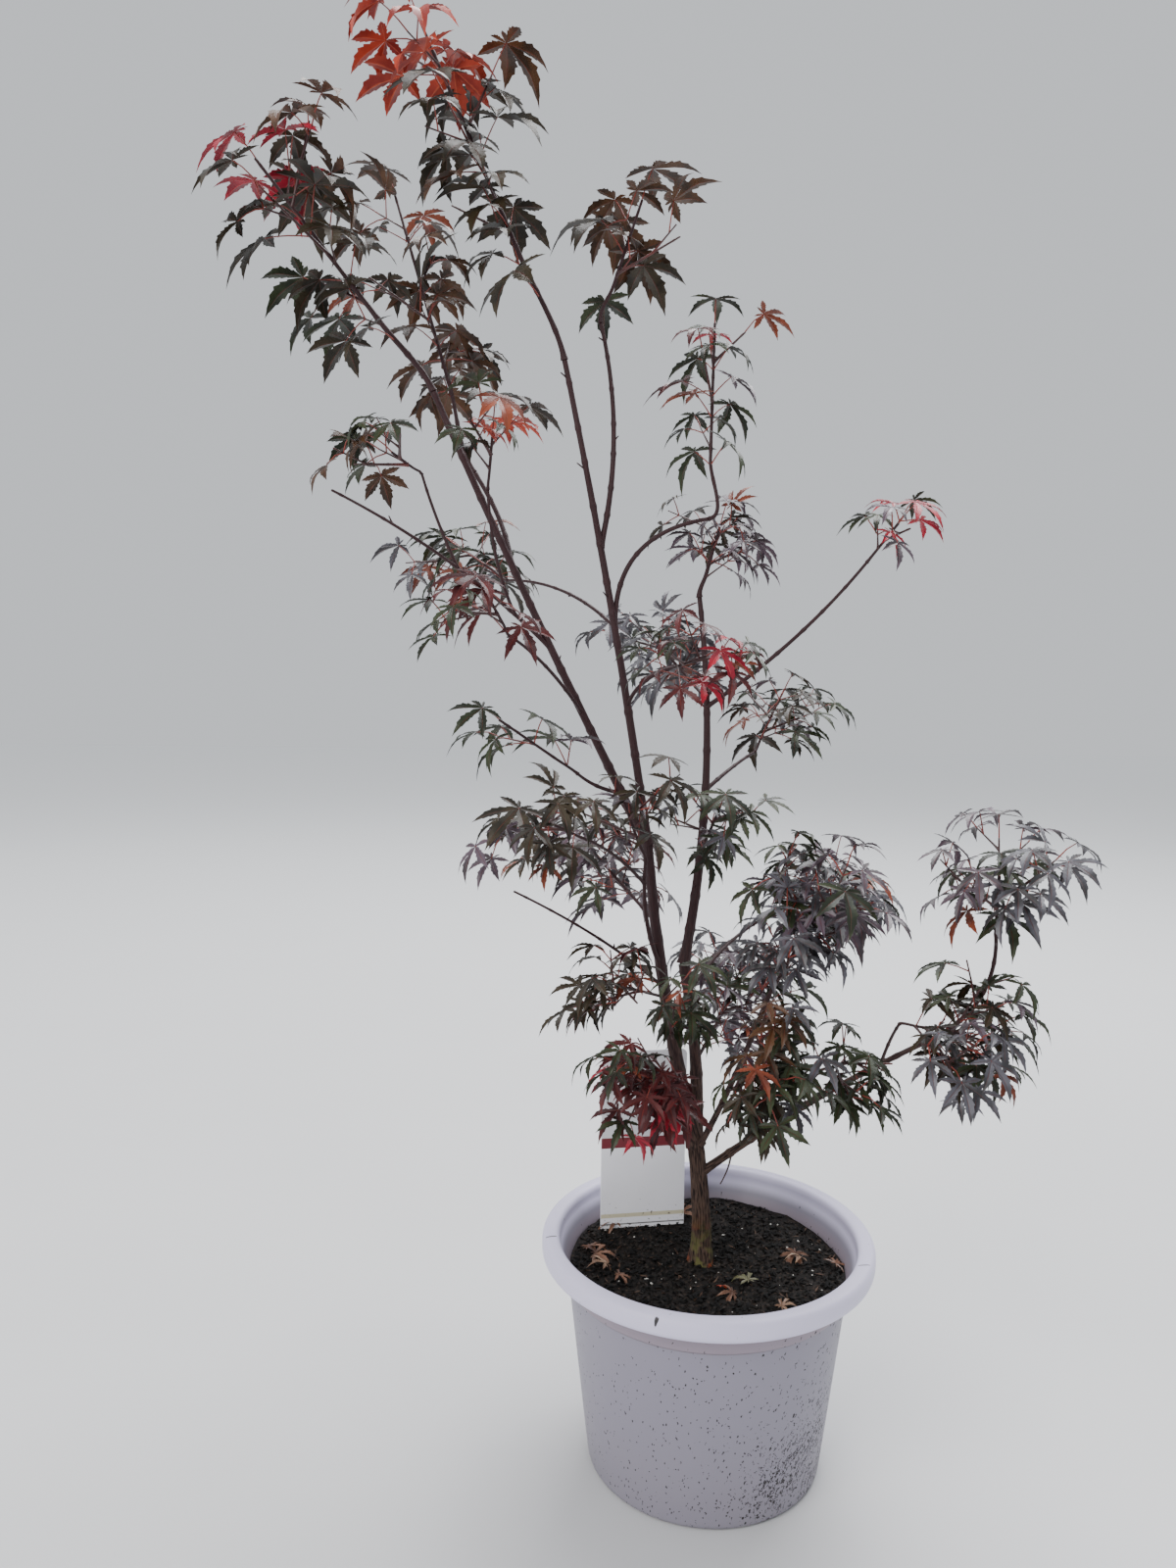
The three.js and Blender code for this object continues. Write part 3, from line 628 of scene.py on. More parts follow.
def label_plate():
    """Corners, faces and their tints. Each row goes once round the plate, which has eased edges."""
    rows = label_rows()
    thin, edge = LABEL_THICK / 2, LABEL_EDGE
    corners = []
    for height, half in rows:
        bend = LABEL_BOW * math.sin(math.pi * max(0, height) / LABEL_HEIGHT)
        front = [(-half, edge - thin), (edge - half, -thin), (half - edge, -thin), (half, edge - thin)]
        corners += [(x, y + bend, height) for x, y in front]
        corners += [(-x, bend - y, height) for x, y in front]
    around = list(range(LABEL_SIDES))
    faces, tints = [around[::-1]], ["label_white"]
    for row in range(len(rows) - 1):
        low, high = LABEL_SIDES * row, LABEL_SIDES * (row + 1)
        middle = (rows[row][0] + rows[row + 1][0]) / 2
        tint = next(name for top, name in LABEL_BANDS if middle <= top)
        for i in around:
            j = (i + 1) % LABEL_SIDES
            faces.append((low + i, low + j, high + j, high + i))
            tints.append(tint if i == 1 else "label_white")
    faces.append([high + i for i in around])
    tints.append("label_white")
    turn = np.array(Matrix.Rotation(math.radians(LABEL_TURN), 3, "Z"))
    return np.array(corners) @ turn.T + (*LABEL_PLACE, SOIL_LEVEL), faces, tints


LABEL_COLOURS = {
    "label_white": ink(250, 250, 255),
    "label_grey": ink(214, 214, 218),
    "label_cream": ink(214, 206, 176),
    "label_line": ink(120, 120, 118),
    "label_red": ink(112, 22, 34),
}
LABEL_DUST = ink(150, 150, 152)
LABEL_SOIL = ink(66, 56, 50)


def label_paint(colour):
    """A band's colour, a little dusty, and soiled where it stands in the soil."""

    def paint(place):
        above_soil = coordinate(place, "Z") - SOIL_LEVEL * MM
        soiled = rise(cloud(place, 320, 2) - 2.2 * above_soil, 0.6, 0.74)
        dusty = blend(0.12 * cloud(place, 30), colour, LABEL_DUST)
        return {
            "Base Color": blend(soiled, dusty, LABEL_SOIL),
            "Roughness": 0.3 + 0.15 * cloud(place, 40),
            "Normal": relief(cloud(place, 500), 0.0001, 0.3),
        }

    return paint


corners, faces, tints = label_plate()
label_finishes = [finish(name, label_paint(colour)) for name, colour in LABEL_COLOURS.items()]
tint_of_face = [list(LABEL_COLOURS).index(tint) for tint in tints]
label = make_piece("label_plate", corners, faces, label_finishes, "label_plastic", tint_of_face, sharp=25)
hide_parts("label")

# Trunk, stems and boughs
# Several stems from one short trunk, with boughs on them. Old wood is grey-brown, fissured along
# its length and green with algae at the foot; young wood is smooth, dark purple-brown, and swells
# a little at each bud.
CLEARANCE = 0.3
ROOT_FLARE = 4
FLARE_POWER = 7
FLARE_RIBS = 3
COLLAR = 0.45
BUD_SPACING = (26, 44)
MOST_BUDS = 60
FISSURE_RIBS = (4, 7, 9, 13, 16)
FISSURE_DRIFT = 1 / 14
FISSURE_STARTS = (0, 6.3)
# The radii of young and of old wood at a limb's foot, and how deep fissures and how high bud knobs
# are on each, as shares of the radius
WOOD_RADII = (3, 9)
FISSURE_DEPTHS = (0.03, 0.1)
KNOB_HEIGHTS = (0.24, 0.04)
TIP_POINT = 0.7
LENGTH_STEPS = 200
FIRST_BARK_SEED = 40
# Rows are the least radius at the foot, how many sides, and how far apart the rings stand
LIMB_MESH = ((9, 72, 1.6), (5, 36, 2.4), (0, 16, 2.2))
# Rows are name, limb it grows on, share along it, reach, bow, and radius at the foot and the tip
LIMBS = (
    ("trunk", None, 0, (-9, 0, 130), (2, 0, 0), 10.5, 8.6),
    ("left_stem", "trunk", 1, (-56, -10, 321), (-7, 0, 0), 8, 4.9),
    ("right_stem", "trunk", 1, (-14, 30, 187), (6, 3, 0), 7, 5.8),
    ("left_leader", "left_stem", 1, (-212, -34, 437), (-3, -2, -2), 4.6, 3),
    ("middle_leader", "left_stem", 1, (-89, 0, 475), (4, 7, 1), 4.5, 2.7),
    ("right_leader", "right_stem", 1, (13, 50, 387), (16, 8, 0), 5.6, 2.6),
    ("low_right_bough", "trunk", 0.75, (220, -45, 162), (-4, 0, 5), 4.6, 2.5),
    ("low_right_upright", "low_right_bough", 1, (56, -25, 122), (20, -2, -10), 2.5, 1.8),
    ("low_right_side", "low_right_bough", 0.82, (2, -56, 60), (0, 0, 4), 1.8, 1.4),
    ("low_right_twig", "low_right_bough", 0.45, (18, -42, 60), (0, 0, 5), 1.7, 1.3),
    ("right_front_bough", "trunk", 0.95, (60, -60, 181), (-2, -12, -5), 3.6, 2.3),
    ("front_right_bough", "right_front_bough", 0.36, (12, -66, 54), (0, -4, -4), 1.8, 1.4),
    ("right_inner_bough", "right_stem", 0.84, (84, 123, 45), (-3, 0, 5), 2.4, 1.7),
    ("right_bough", "right_leader", 0.47, (64, 90, 34), (0, -8, 4), 2.4, 1.6),
    ("right_reach", "right_leader", 0.7, (148, -75, 148), (8, 2, -4), 2.5, 1.5),
    ("left_side_stem", "left_stem", 0.6, (-20, -42, 118), (-7, -5, -3), 2.6, 1.8),
    ("left_low_reach", "left_side_stem", 0.82, (-62, -80, 58), (0, 0, 6), 1.8, 1.3),
    ("left_bare_bough", "left_stem", 0.53, (-149, -105, 122), (9, -8, 4), 1.8, 1),
    ("left_spur", "left_leader", 0.124, (-44, -32, 22), (-2, 1, -3), 2.2, 1.5),
    ("left_small_bough", "left_leader", 0.309, (-65, -108, 74), (0, -10, 8), 1.9, 1.3),
    ("left_high_bough", "left_leader", 0.453, (-191, -105, 137), (5, 2, 9), 2.3, 1.1),
    ("left_high_side", "left_high_bough", 0.48, (-32, -5, 84), (-3, 0, 3), 1.6, 1.2),
    ("left_cross_stem", "left_high_bough", 0.2, (-22, -45, 111), (-4, -12, -5), 1.7, 1.3),
    ("left_twin", "left_leader", 0.638, (-40, 42, 93), (6, 7, -0.5), 2.6, 2.2),
    ("middle_right", "middle_leader", 0.294, (36, -45, 37), (-5, 0, 4), 2.2, 1.6),
    ("middle_left_bough", "middle_leader", 0.459, (-119, 175, 55), (5, 0, 12), 2.1, 1.4),
    ("arched_bough", "middle_leader", 0.453, (92, 10, 111), (-25, 4, 20), 2.7, 2),
    ("twin_stem", "middle_leader", 0.6235, (-2, 48, 227), (13, 1, 0), 3, 2),
)


class Curve:
    """A limb's middle line: it starts at a place, ends its reach away, and bows off the straight."""

    def __init__(self, start, reach, bow=(0, 0, 0)):
        self.start = Vector(start)
        self.end = self.start + Vector(reach)
        self.middle = self.start.lerp(self.end, 0.5) + 2 * Vector(bow)

    def place(self, at):
        return self.start * (1 - at) ** 2 + self.middle * (2 * at * (1 - at)) + self.end * at**2

    def heading(self, at):
        low, high = max(0, at - 1e-4), min(1, at + 1e-4)
        return (self.place(high) - self.place(low)).normalized()

    def places(self, steps):
        return np.array([self.place(i / steps) for i in range(steps + 1)])

    def length(self):
        return float(np.linalg.norm(np.diff(self.places(LENGTH_STEPS), axis=0), axis=1).sum())


limb_curves = {}
for name, on, at, reach, bow, _, _ in LIMBS:
    start = limb_curves[on].place(at) if on else (*TRUNK_FOOT, SOIL_LEVEL + CLEARANCE)
    limb_curves[name] = Curve(start, reach, bow)


def tube(curve, radii, sides, step):
    """Corners, faces and grain of a closed round tube along a curve.

    Radii is a function of the way along in millimetres and the angle round, both as arrays. The
    grain gives each corner's place round the tube in two numbers, and along it in the third.
    """
    length = curve.length()
    rings = max(2, round(length / step))
    shares = np.linspace(0, 1, rings + 1)
    angles = np.arange(sides) * 2 * math.pi / sides
    along, around = np.meshgrid(shares * length, angles, indexing="ij")
    radius = radii(along, around)
    normal = curve.heading(0).orthogonal().normalized()
    rows = []
    for share in shares:
        heading = curve.heading(share)
        normal = (normal - heading * normal.dot(heading)).normalized()
        rows.append((curve.place(share), normal, heading.cross(normal)))
    middle, normal, aside = (np.array(column)[:, None, :] for column in zip(*rows))
    out = normal * np.cos(around)[..., None] + aside * np.sin(around)[..., None]
    corners = (middle + out * radius[..., None]).reshape(-1, 3)
    tip = curve.end + curve.heading(1) * radius[-1].mean() * TIP_POINT
    corners = np.concatenate([corners, [curve.place(0), tip]])
    faces = []
    for i in range(sides):
        j = (i + 1) % sides
        for row in range(0, rings * sides, sides):
            faces.append((row + i, row + j, row + sides + j, row + sides + i))
        faces.append((len(corners) - 2, j, i))
        faces.append((len(corners) - 1, rings * sides + i, rings * sides + j))
    grain = np.stack([np.cos(around) * radius, np.sin(around) * radius, along], axis=-1).reshape(-1, 3)
    return corners, faces, np.concatenate([grain, [(0, 0, 0), (0, 0, length)]])


def make_wood(name, tubes, material):
    """Tubes joined into one piece, with their grain."""
    corners, faces, grain, count = [], [], [], 0
    for tube_corners, tube_faces, tube_grain in tubes:
        corners.append(tube_corners)
        grain.append(tube_grain)
        faces += [[corner + count for corner in face] for face in tube_faces]
        count += len(tube_corners)
    marks = {"grain": np.concatenate(grain)}
    return make_piece(name, np.concatenate(corners), faces, [material], "bark", marks=marks, sharp=80)


def bark_radii(foot, tip, length, luck, flare=0.0):
    """A limb's radius: its taper, the collar at its foot, its buds, and fissures along old wood."""
    buds = np.cumsum(luck.uniform(*BUD_SPACING, MOST_BUDS))
    waves = []
    for ribs in FISSURE_RIBS:
        waves.append((ribs, luck.uniform(-1, 1) * FISSURE_DRIFT, luck.uniform(*FISSURE_STARTS)))
    age = min(1.0, max(0.0, (foot - WOOD_RADII[0]) / (WOOD_RADII[1] - WOOD_RADII[0])))

    def radii(along, around):
        share = along / length
        ridges = sum(np.cos(ribs * around + drift * along + start) for ribs, drift, start in waves)
        fissures = 1 - between(FISSURE_DEPTHS, age) * np.exp(-((ridges / 0.9) ** 2))
        swelling = np.exp(-(((along[..., None] - buds) / (1.6 + foot / 4)) ** 2)).sum(axis=-1)
        knobs = 1 + between(KNOB_HEIGHTS, age) * swelling
        ribbed = flare * (1 - share) ** FLARE_POWER * (1 + 0.5 * np.cos(FLARE_RIBS * around))
        collar = 1 + (0 if flare else COLLAR) * np.exp(-along / (1.5 * foot))
        return between((foot, tip), share) * fissures * knobs * collar + ribbed

    return radii


def bark_paint(place):
    """Streaked along the grain: dark on young wood, grey on old, green and rusty at the foot."""
    grain = place.node("Attribute", {}, {"attribute_name": "grain"}, output="Vector")
    flowing = grain.node("Mapping", {"Vector": grain, "Scale": (0.42, 0.42, 0.05)})
    streaks = cloud(flowing, 1.6, 4)
    height = coordinate(place, "Z")
    old = 1 - rise(height + 0.1 * cloud(place, 30), 0.3, 0.66)
    young = blend(streaks, ink(29, 16, 19), ink(66, 36, 39))
    grey = blend(rise(streaks, 0.36, 0.62), ink(26, 19, 17), ink(88, 70, 60))
    wood = blend(old, young, grey)
    low = 1 - rise(height, 0.215, 0.275)
    algae = low * rise(cloud(place, 75, 2), 0.46, 0.58)
    rust = low * rise(cloud(place, 58, 2), 0.52, 0.62)
    mossy = blend(0.75 * algae, wood, ink(104, 104, 60))
    return {
        "Base Color": blend(0.75 * rust, mossy, ink(138, 66, 40)),
        "Roughness": 0.45 + 0.4 * old + 0.2 * streaks,
        "Normal": relief(streaks, 0.0012, 0.8),
    }


BARK_SHEEN = {"Specular IOR Level": 0.3}

bark = finish("bark", bark_paint, BARK_SHEEN)
for index, (name, on, _, _, _, foot, tip) in enumerate(LIMBS):
    curve = limb_curves[name]
    bark_luck = np.random.default_rng(FIRST_BARK_SEED + index)
    radii = bark_radii(foot, tip, curve.length(), bark_luck, 0 if on else ROOT_FLARE)
    mesh = next(mesh for least, *mesh in LIMB_MESH if foot > least)
    limb = make_wood(name + "_bark", [tube(curve, radii, *mesh)], bark)
    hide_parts(name)

# Growth of the leafy sprays
# Each mass grows by the rule of the part's source: side twigs leave its stem a third of a turn on
# from each other, leaves stand on them in opposite pairs, and what finds no room is skipped. Here
# finer twigs follow, within the same reach.
FIRST_SEED = 101
TRIES = 5
UP = Vector((0, 0, 1))
SAMPLES = 24
ROOM_ROUND_LIMBS = 6
ROOM_ON_OWN_LIMB = 1
ROOM_ROUND_MASSES = 3
STEM_TIP_RADIUS = 1.3
TWIG_RADII = (1.6, 0.9)
FINE_RADII = (1.125, 0.675)
# How far along its stem each kind stands, from the first to the last, and how far round it from
# the one before and from its own last try
TWIG_PLACES = (0.3, 0.9)
FINE_PLACES = (0.16, 0.96)
TWIG_TURNS = (2.2, 1.2)
FINE_TURNS = (2.6, 1.3)
LEAF_TRY_TURN = 0.5
# How far each kind leans forward along its stem, and upwards
TWIG_LEAN = (0.7, 0.25)
FINE_LEAN = (0.8, 0.3)
LEAF_LEAN = (0.6, 0.2)
# Lengths of a twig, as shares of its mass's spread, at the foot and the tip of the stem
TWIG_SHARES = (0.74, 0.44)
FINE_LENGTHS = (20, 46)
BARE_START = 0.08
LAST_LEAF = 0.97
PAIR_SPACING = 1.2
STALK_LENGTH = 0.7
LEAF_DROOP = (0.25, 0.75)
LEAF_ROLL = 0.9
LEAF_CUP = 0.2
LEAF_TO_LEAF = 0.13
FINE_LEAF = {"scale": 0.8, "nearness": 0.1}
# A leaf's lobes where its room is tested: an angle from the middle one, and a length
TESTED_LOBES = ((-104, 0.6), (-48, 0.88), (0, 1), (48, 0.88), (104, 0.6))
TESTED_PARTS = (0.35, 0.7, 1)
# A stem's foot is swung over this first share of its length
SWING_END = 0.3
# Rows are name, limb it grows on, share along it, reach, radius at the foot, side twigs, spread,
# length of a leaf's middle lobe, foliage, how far from its tip it is red, and how far apart its
# finest twigs stand, which is wide near the top of the tree and close in the low masses
MASSES = (
    ("left_top_leaves", "left_leader", 1, (-154, -36, 193), 3, 3, 140, 54, "olive", 50, 70),
    ("left_twin_leaves", "left_twin", 1, (-91, 78, 295), 2.2, 4, 120, 50, "olive", 0, 70),
    ("middle_top_leaves", "middle_leader", 1, (-137, -30, 298), 2.7, 4, 140, 56, "olive", 70, 70),
    ("twin_leaves", "twin_stem", 1, (41, 33, 131), 2, 3, 125, 52, "olive", 0, 70),
    ("arched_leaves", "arched_bough", 1, (5, 30, 196), 2, 3, 88, 40, "plum", 22, 70),
    ("right_leader_leaves", "right_leader", 1, (24, 30, 80), 2.6, 2, 95, 40, "plum", 0, 22),
    ("right_reach_leaves", "right_reach", 1, (24, -24, 36), 1.5, 1, 82, 38, "crimson", 30, 22),
    ("middle_right_leaves", "middle_right", 1, (32, -60, 14), 1.6, 2, 82, 38, "crimson", 28, 22),
    ("back_middle_leaves", "right_leader", 0.72, (-55, 165, 72), 1.9, 2, 110, 44, "plum", 0, 22),
    ("right_spur_leaves", "right_leader", 0.3, (10, -85, 60), 1.9, 2, 92, 40, "plum", 0, 22),
    ("right_bough_leaves", "right_bough", 1, (30, 45, 50), 1.6, 2, 110, 44, "plum", 0, 22),
    ("left_spur_leaves", "left_spur", 1, (-72, -66, 56), 1.5, 3, 88, 40, "plum", 0, 70),
    ("left_side_leaves", "left_side_stem", 1, (-23, -40, 63), 1.8, 2, 100, 42, "plum", 0, 22),
    ("left_low_reach_leaves", "left_low_reach", 1, (-36, -45, 24), 1.3, 2, 95, 42, "plum", 0, 22),
    ("left_high_side_leaves", "left_high_side", 1, (-24, -22, 16), 1.2, 2, 88, 40, "olive", 0, 22),
    ("left_cross_leaves", "left_cross_stem", 1, (6, -20, 49), 1.3, 1, 95, 42, "olive", 28, 22),
    ("left_small_leaves", "left_small_bough", 1, (-15, -40, 31), 1.3, 1, 90, 40, "plum", 0, 22),
    ("middle_left_leaves", "middle_left_bough", 1, (-63, 70, 43), 1.4, 2, 110, 47, "plum", 0, 22),
    ("right_inner_leaves", "right_inner_bough", 1, (115, 70, 34), 1.7, 2, 120, 47, "plum", 0, 12),
    ("back_left_leaves", "left_stem", 0.75, (-90, 198, 67), 2, 2, 115, 46, "plum", 0, 22),
    ("back_right_leaves", "right_stem", 0.45, (84, 174, 72), 2, 2, 115, 50, "plum", 0, 12),
    ("right_front_leaves", "right_front_bough", 1, (46, -48, 118), 2.3, 4, 120, 42, "plum", 0, 12),
    ("front_right_leaves", "front_right_bough", 1, (24, -58, 32), 1.4, 4, 105, 38, "plum", 0, 12),
    ("low_right_upright_leaves", "low_right_upright", 1, (-6, -20, 56), 1.8, 3, 116, 42, "plum", 0, 22),
    ("low_right_side_leaves", "low_right_side", 1, (52, -38, 4), 1.4, 3, 112, 40, "plum", 0, 12),
    ("low_right_twig_leaves", "low_right_twig", 1, (26, -38, 26), 1.3, 3, 95, 40, "plum", 0, 12),
    ("left_bare_side_leaves", "left_stem", 0.5, (-64, -105, 46), 1.6, 2, 98, 42, "plum", 0, 22),
    ("left_hanging_leaves", "left_stem", 0.44, (-6, -146, 24), 1.6, 3, 98, 40, "plum", 0, 22),
    ("front_left_leaves", "left_stem", 0.17, (-45, -145, 88), 1.8, 3, 95, 38, "crimson", 0, 12),
)


def seeded(seed):
    """The source's own run of chance, as a function that gives the next number from 0 to 1."""
    state = seed

    def draw():
        nonlocal state
        state = (state * 1664525 + 1013904223) % 4294967296
        return state / 4294967296

    return draw


def varied(chance):
    """A factor from 0.85 to 1.15."""
    return 0.85 + 0.3 * chance()


def sideways(along, angle):
    """A direction square to another one, turned round it by an angle."""
    flat = UP if abs(along.z) < 0.97 else Vector((1, 0, 0))
    return Quaternion(along, angle) @ along.cross(flat).normalized()


def leaning(out, along, lean):
    """A direction outwards that leans forward along its stem and upwards."""
    forward, upward = lean
    return (out + along * forward + UP * upward).normalized()


mass_curves = [Curve(limb_curves[on].place(at), reach) for _, on, at, reach, *_ in MASSES]
stem_samples = np.array([curve.places(SAMPLES) for curve in mass_curves])
limb_samples = np.array([curve.places(SAMPLES) for curve in limb_curves.values()])
limb_feet = np.array([foot for *_, foot, _ in LIMBS])


def nearest(places, samples):
    """How far each place is from each row of samples."""
    return np.linalg.norm(places[:, None, None] - samples[None], axis=-1).min(axis=2)


def has_room(mass, places):
    """Places belong to the mass whose stem is nearest, and are free where no limb passes."""
    places = np.array(places)
    gaps = nearest(places, stem_samples)
    own = gaps[:, mass.index]
    others = np.delete(gaps, mass.index, axis=1).min(axis=1)
    if (own > mass.spread).any() or (others < own + ROOM_ROUND_MASSES).any():
        return False
    return not (nearest(places, limb_samples) < mass.limb_room).any()


class Mass:
    """One mass of leaves while it grows: its row, its twigs and its leaves."""

    def __init__(self, index, row):
        self.index = index
        self.name, on, at, _, foot, self.twigs, self.spread = row[:7]
        self.leaf, self.foliage, self.red, self.fine_spacing = row[7:]
        self.curve = mass_curves[index]
        straight = self.curve.end - self.curve.start
        self.pull = Vector()
        if at == 1:
            self.pull = limb_curves[on].heading(1) * straight.length - straight
        own = np.array([name == on for name in limb_curves])
        self.limb_room = limb_feet + np.where(own, ROOM_ON_OWN_LIMB, ROOM_ROUND_LIMBS)
        self.leaf_samples = np.zeros((0, 3))
        self.wood = [(self.curve, (foot, STEM_TIP_RADIUS))]
        self.leaves = []


def swing(mass, curve, at):
    """How far a stem's foot stands off the straight, so that it leaves its limb the way that heads."""
    if curve is not mass.curve or at > SWING_END:
        return Vector()
    return mass.pull * (at * (1 - at / SWING_END) ** 2)


class SwungStem(Curve):
    """A mass's own stem as it is drawn, with its foot swung into line with its limb."""

    def __init__(self, mass):
        self.mass, self.start, self.end = mass, mass.curve.start, mass.curve.end

    def place(self, at):
        return self.mass.curve.place(at) + swing(self.mass, self.mass.curve, at)


def try_leaf(mass, start, heading, chance, shoot, scale=1.0, nearness=LEAF_TO_LEAF, shift=None):
    """Grow a leaf if it finds room, and say whether it did.

    It lies nearly level, droops a little and rolls to a side. A shift moves its stalk's foot.
    """
    size = mass.leaf * scale * varied(chance)
    root = start + heading * size * STALK_LENGTH
    level = Vector((heading.x, heading.y, heading.z / 4)).normalized()
    axis = (level - UP * math.tan(between(LEAF_DROOP, chance()))).normalized()
    face = (UP - axis * axis.z).normalized()
    face = Quaternion(axis, LEAF_ROLL * (chance() - 0.5)) @ face
    across = face.cross(axis)
    places = [root, root.lerp(start, 0.4)]
    for degrees, share in TESTED_LOBES:
        angle = math.radians(degrees)
        for part in TESTED_PARTS:
            out = part * share * size
            aside = across * math.sin(angle) * out
            fall = LEAF_CUP * part * share * share * size
            places.append(root + axis * math.cos(angle) * out + aside - face * fall)
    places = np.array(places)
    if len(mass.leaf_samples):
        gaps = np.linalg.norm(places[:, None] - mass.leaf_samples[None], axis=-1)
        if gaps.min() < nearness * size:
            return False
    if not has_room(mass, places):
        return False
    mass.leaf_samples = np.concatenate([mass.leaf_samples, places])
    mass.leaves.append((start + (shift or Vector()), root, axis, across, face, size, shoot))
    return True


def leaf_pair(mass, start, along, turn, chance, shoot, **leaf):
    """Two leaves on opposite sides, each turned on until it finds room."""
    for side in (0, math.pi):
        for attempt in range(TRIES):
            out = sideways(along, turn + side + LEAF_TRY_TURN * attempt)
            if try_leaf(mass, start, leaning(out, along, LEAF_LEAN), chance, shoot, **leaf):
                break


def leaf_shoot(mass, curve, chance, shoot):
    """Leaves in opposite pairs, each pair a quarter turn on from the last, with one at the end."""
    spacing = mass.leaf * PAIR_SPACING / curve.length()
    turn = 2 * math.pi * chance()
    at = 1
    while at > BARE_START:
        start, along = curve.place(min(at, LAST_LEAF)), curve.heading(at)
        if at == 1:
            try_leaf(mass, start, along, chance, shoot)
        else:
            leaf_pair(mass, start, along, turn, chance, shoot, shift=swing(mass, curve, at))
            turn += math.pi / 2
        at -= spacing


def fine_twigs(mass, curve, chance, shoot):
    """Finer twigs along a shoot, each with a leaf at its end and a pair below it."""
    count = int(curve.length() / mass.fine_spacing)
    for i in range(count):
        at = between(FINE_PLACES, (i + 0.5) / count)
        along = curve.heading(at)
        reach = between(FINE_LENGTHS, chance())
        for attempt in range(TRIES):
            out = sideways(along, i * FINE_TURNS[0] + attempt * FINE_TURNS[1] + chance())
            foot = curve.place(at) + swing(mass, curve, at)
            twig = Curve(foot, leaning(out, along, FINE_LEAN) * reach)
            if not has_room(mass, twig.places(3)[1:]):
                continue
            grown = len(mass.leaves)
            try_leaf(mass, twig.place(LAST_LEAF), twig.heading(1), chance, shoot, **FINE_LEAF)
            turn = 2 * math.pi * chance()
            leaf_pair(mass, twig.place(0.7), twig.heading(1), turn, chance, shoot, **FINE_LEAF)
            if len(mass.leaves) > grown:
                mass.wood.append((twig, FINE_RADII))
            break


def grow(index, row):
    """A mass with its side twigs, its leaves on them, and its finer twigs."""
    mass = Mass(index, row)
    chance = seeded(FIRST_SEED + index)
    shoots = [mass.curve]
    for i in range(mass.twigs):
        at = between(TWIG_PLACES, (i + 0.5) / mass.twigs)
        along = mass.curve.heading(at)
        length = mass.spread * between(TWIG_SHARES, at) * varied(chance)
        for attempt in range(TRIES):
            out = sideways(along, i * TWIG_TURNS[0] + attempt * TWIG_TURNS[1] + chance())
            twig = Curve(mass.curve.place(at), leaning(out, along, TWIG_LEAN) * length)
            if has_room(mass, twig.places(4)[1:]):
                shoots.append(twig)
                break
    for number, shoot in enumerate(shoots):
        leaf_shoot(mass, shoot, chance, number)
    for number, shoot in enumerate(shoots):
        fine_twigs(mass, shoot, chance, number)
    leafy = {shoot for *_, shoot in mass.leaves}
    mass.wood += [(shoots[number], TWIG_RADII) for number in leafy if number]
    return mass


masses = [grow(index, row) for index, row in enumerate(MASSES)]

# Twigs and leaf stalks
# This year's wood is thin, dark red-brown with redder patches, and swells at each pair of buds.
# Stalks are thinner still, and redder. Short bare spurs stand on the boughs where old leaves were.
SPUR_EVERY = (60, 150)
SPUR_LENGTH = (2, 9)
SPUR_LEAN = (0.8, 0.2)
SPUR_RADII = (1.0, 0.6)
# A dead twig that hangs from a bough: the share along it, its reach, bow, and radii
HANGING_TWIG = ("low_right_bough", 0.16, (-12, -10, -31), (2, -2, 1), (1.1, 0.6))
STALK_RADII = (0.75, 0.5)
STALK_BOW = (0.5, 3)
# Rows are how many sides, and how far apart the rings stand
TWIG_MESH = (8, 4)
FINE_MESH = (5, 6)
SPUR_MESH = (6, 3)
STALK_MESH = (5, 11)


def twig_paint(place):
    """Dark red-brown, streaked along the grain, with redder patches."""
    grain = place.node("Attribute", {}, {"attribute_name": "grain"}, output="Vector")
    streaks = cloud(grain.node("Mapping", {"Vector": grain, "Scale": (0.6, 0.6, 0.07)}), 1.5)
    wood = blend(streaks, ink(42, 25, 27), ink(78, 42, 40))
    return {
        "Base Color": blend(0.7 * rise(cloud(place, 26, 1), 0.55, 0.75), wood, ink(112, 46, 40)),
        "Roughness": 0.34 + 0.25 * streaks,
        "Normal": relief(streaks, 0.0004, 0.5),
    }


def stalk_paint(place):
    """Dull red to orange-brown, and smooth."""
    return {
        "Base Color": blend(cloud(place, 30), ink(86, 32, 34), ink(158, 64, 46)),
        "Roughness": 0.35 + 0.2 * cloud(place, 200),
    }


def bare_spurs(luck):
    """Short leafless side twigs at uneven steps along each bough."""
    spurs = []
    for name, on, _, _, _, foot, _ in LIMBS:
        if on is None:
            continue
        curve = limb_curves[name]
        length = curve.length()
        way = luck.uniform(*SPUR_EVERY)
        while way < length * 0.97:
            heading = curve.heading(way / length)
            out = sideways(heading, luck.uniform(0, 2 * math.pi))
            reach = leaning(out, heading, SPUR_LEAN) * (luck.uniform(*SPUR_LENGTH) + foot)
            spurs.append(Curve(curve.place(way / length), reach))
            way += luck.uniform(*SPUR_EVERY)
    return spurs


def knobbed(curve, radii, mesh, luck, drawn=None):
    """A tube with buds and bark, along a curve or as another one draws it."""
    return tube(drawn or curve, bark_radii(*radii, curve.length(), luck), *mesh)


def stalk_radii(length):
    """A stalk's radius, which shrinks evenly towards its leaf."""
    return lambda along, around: between(STALK_RADII, along / length)


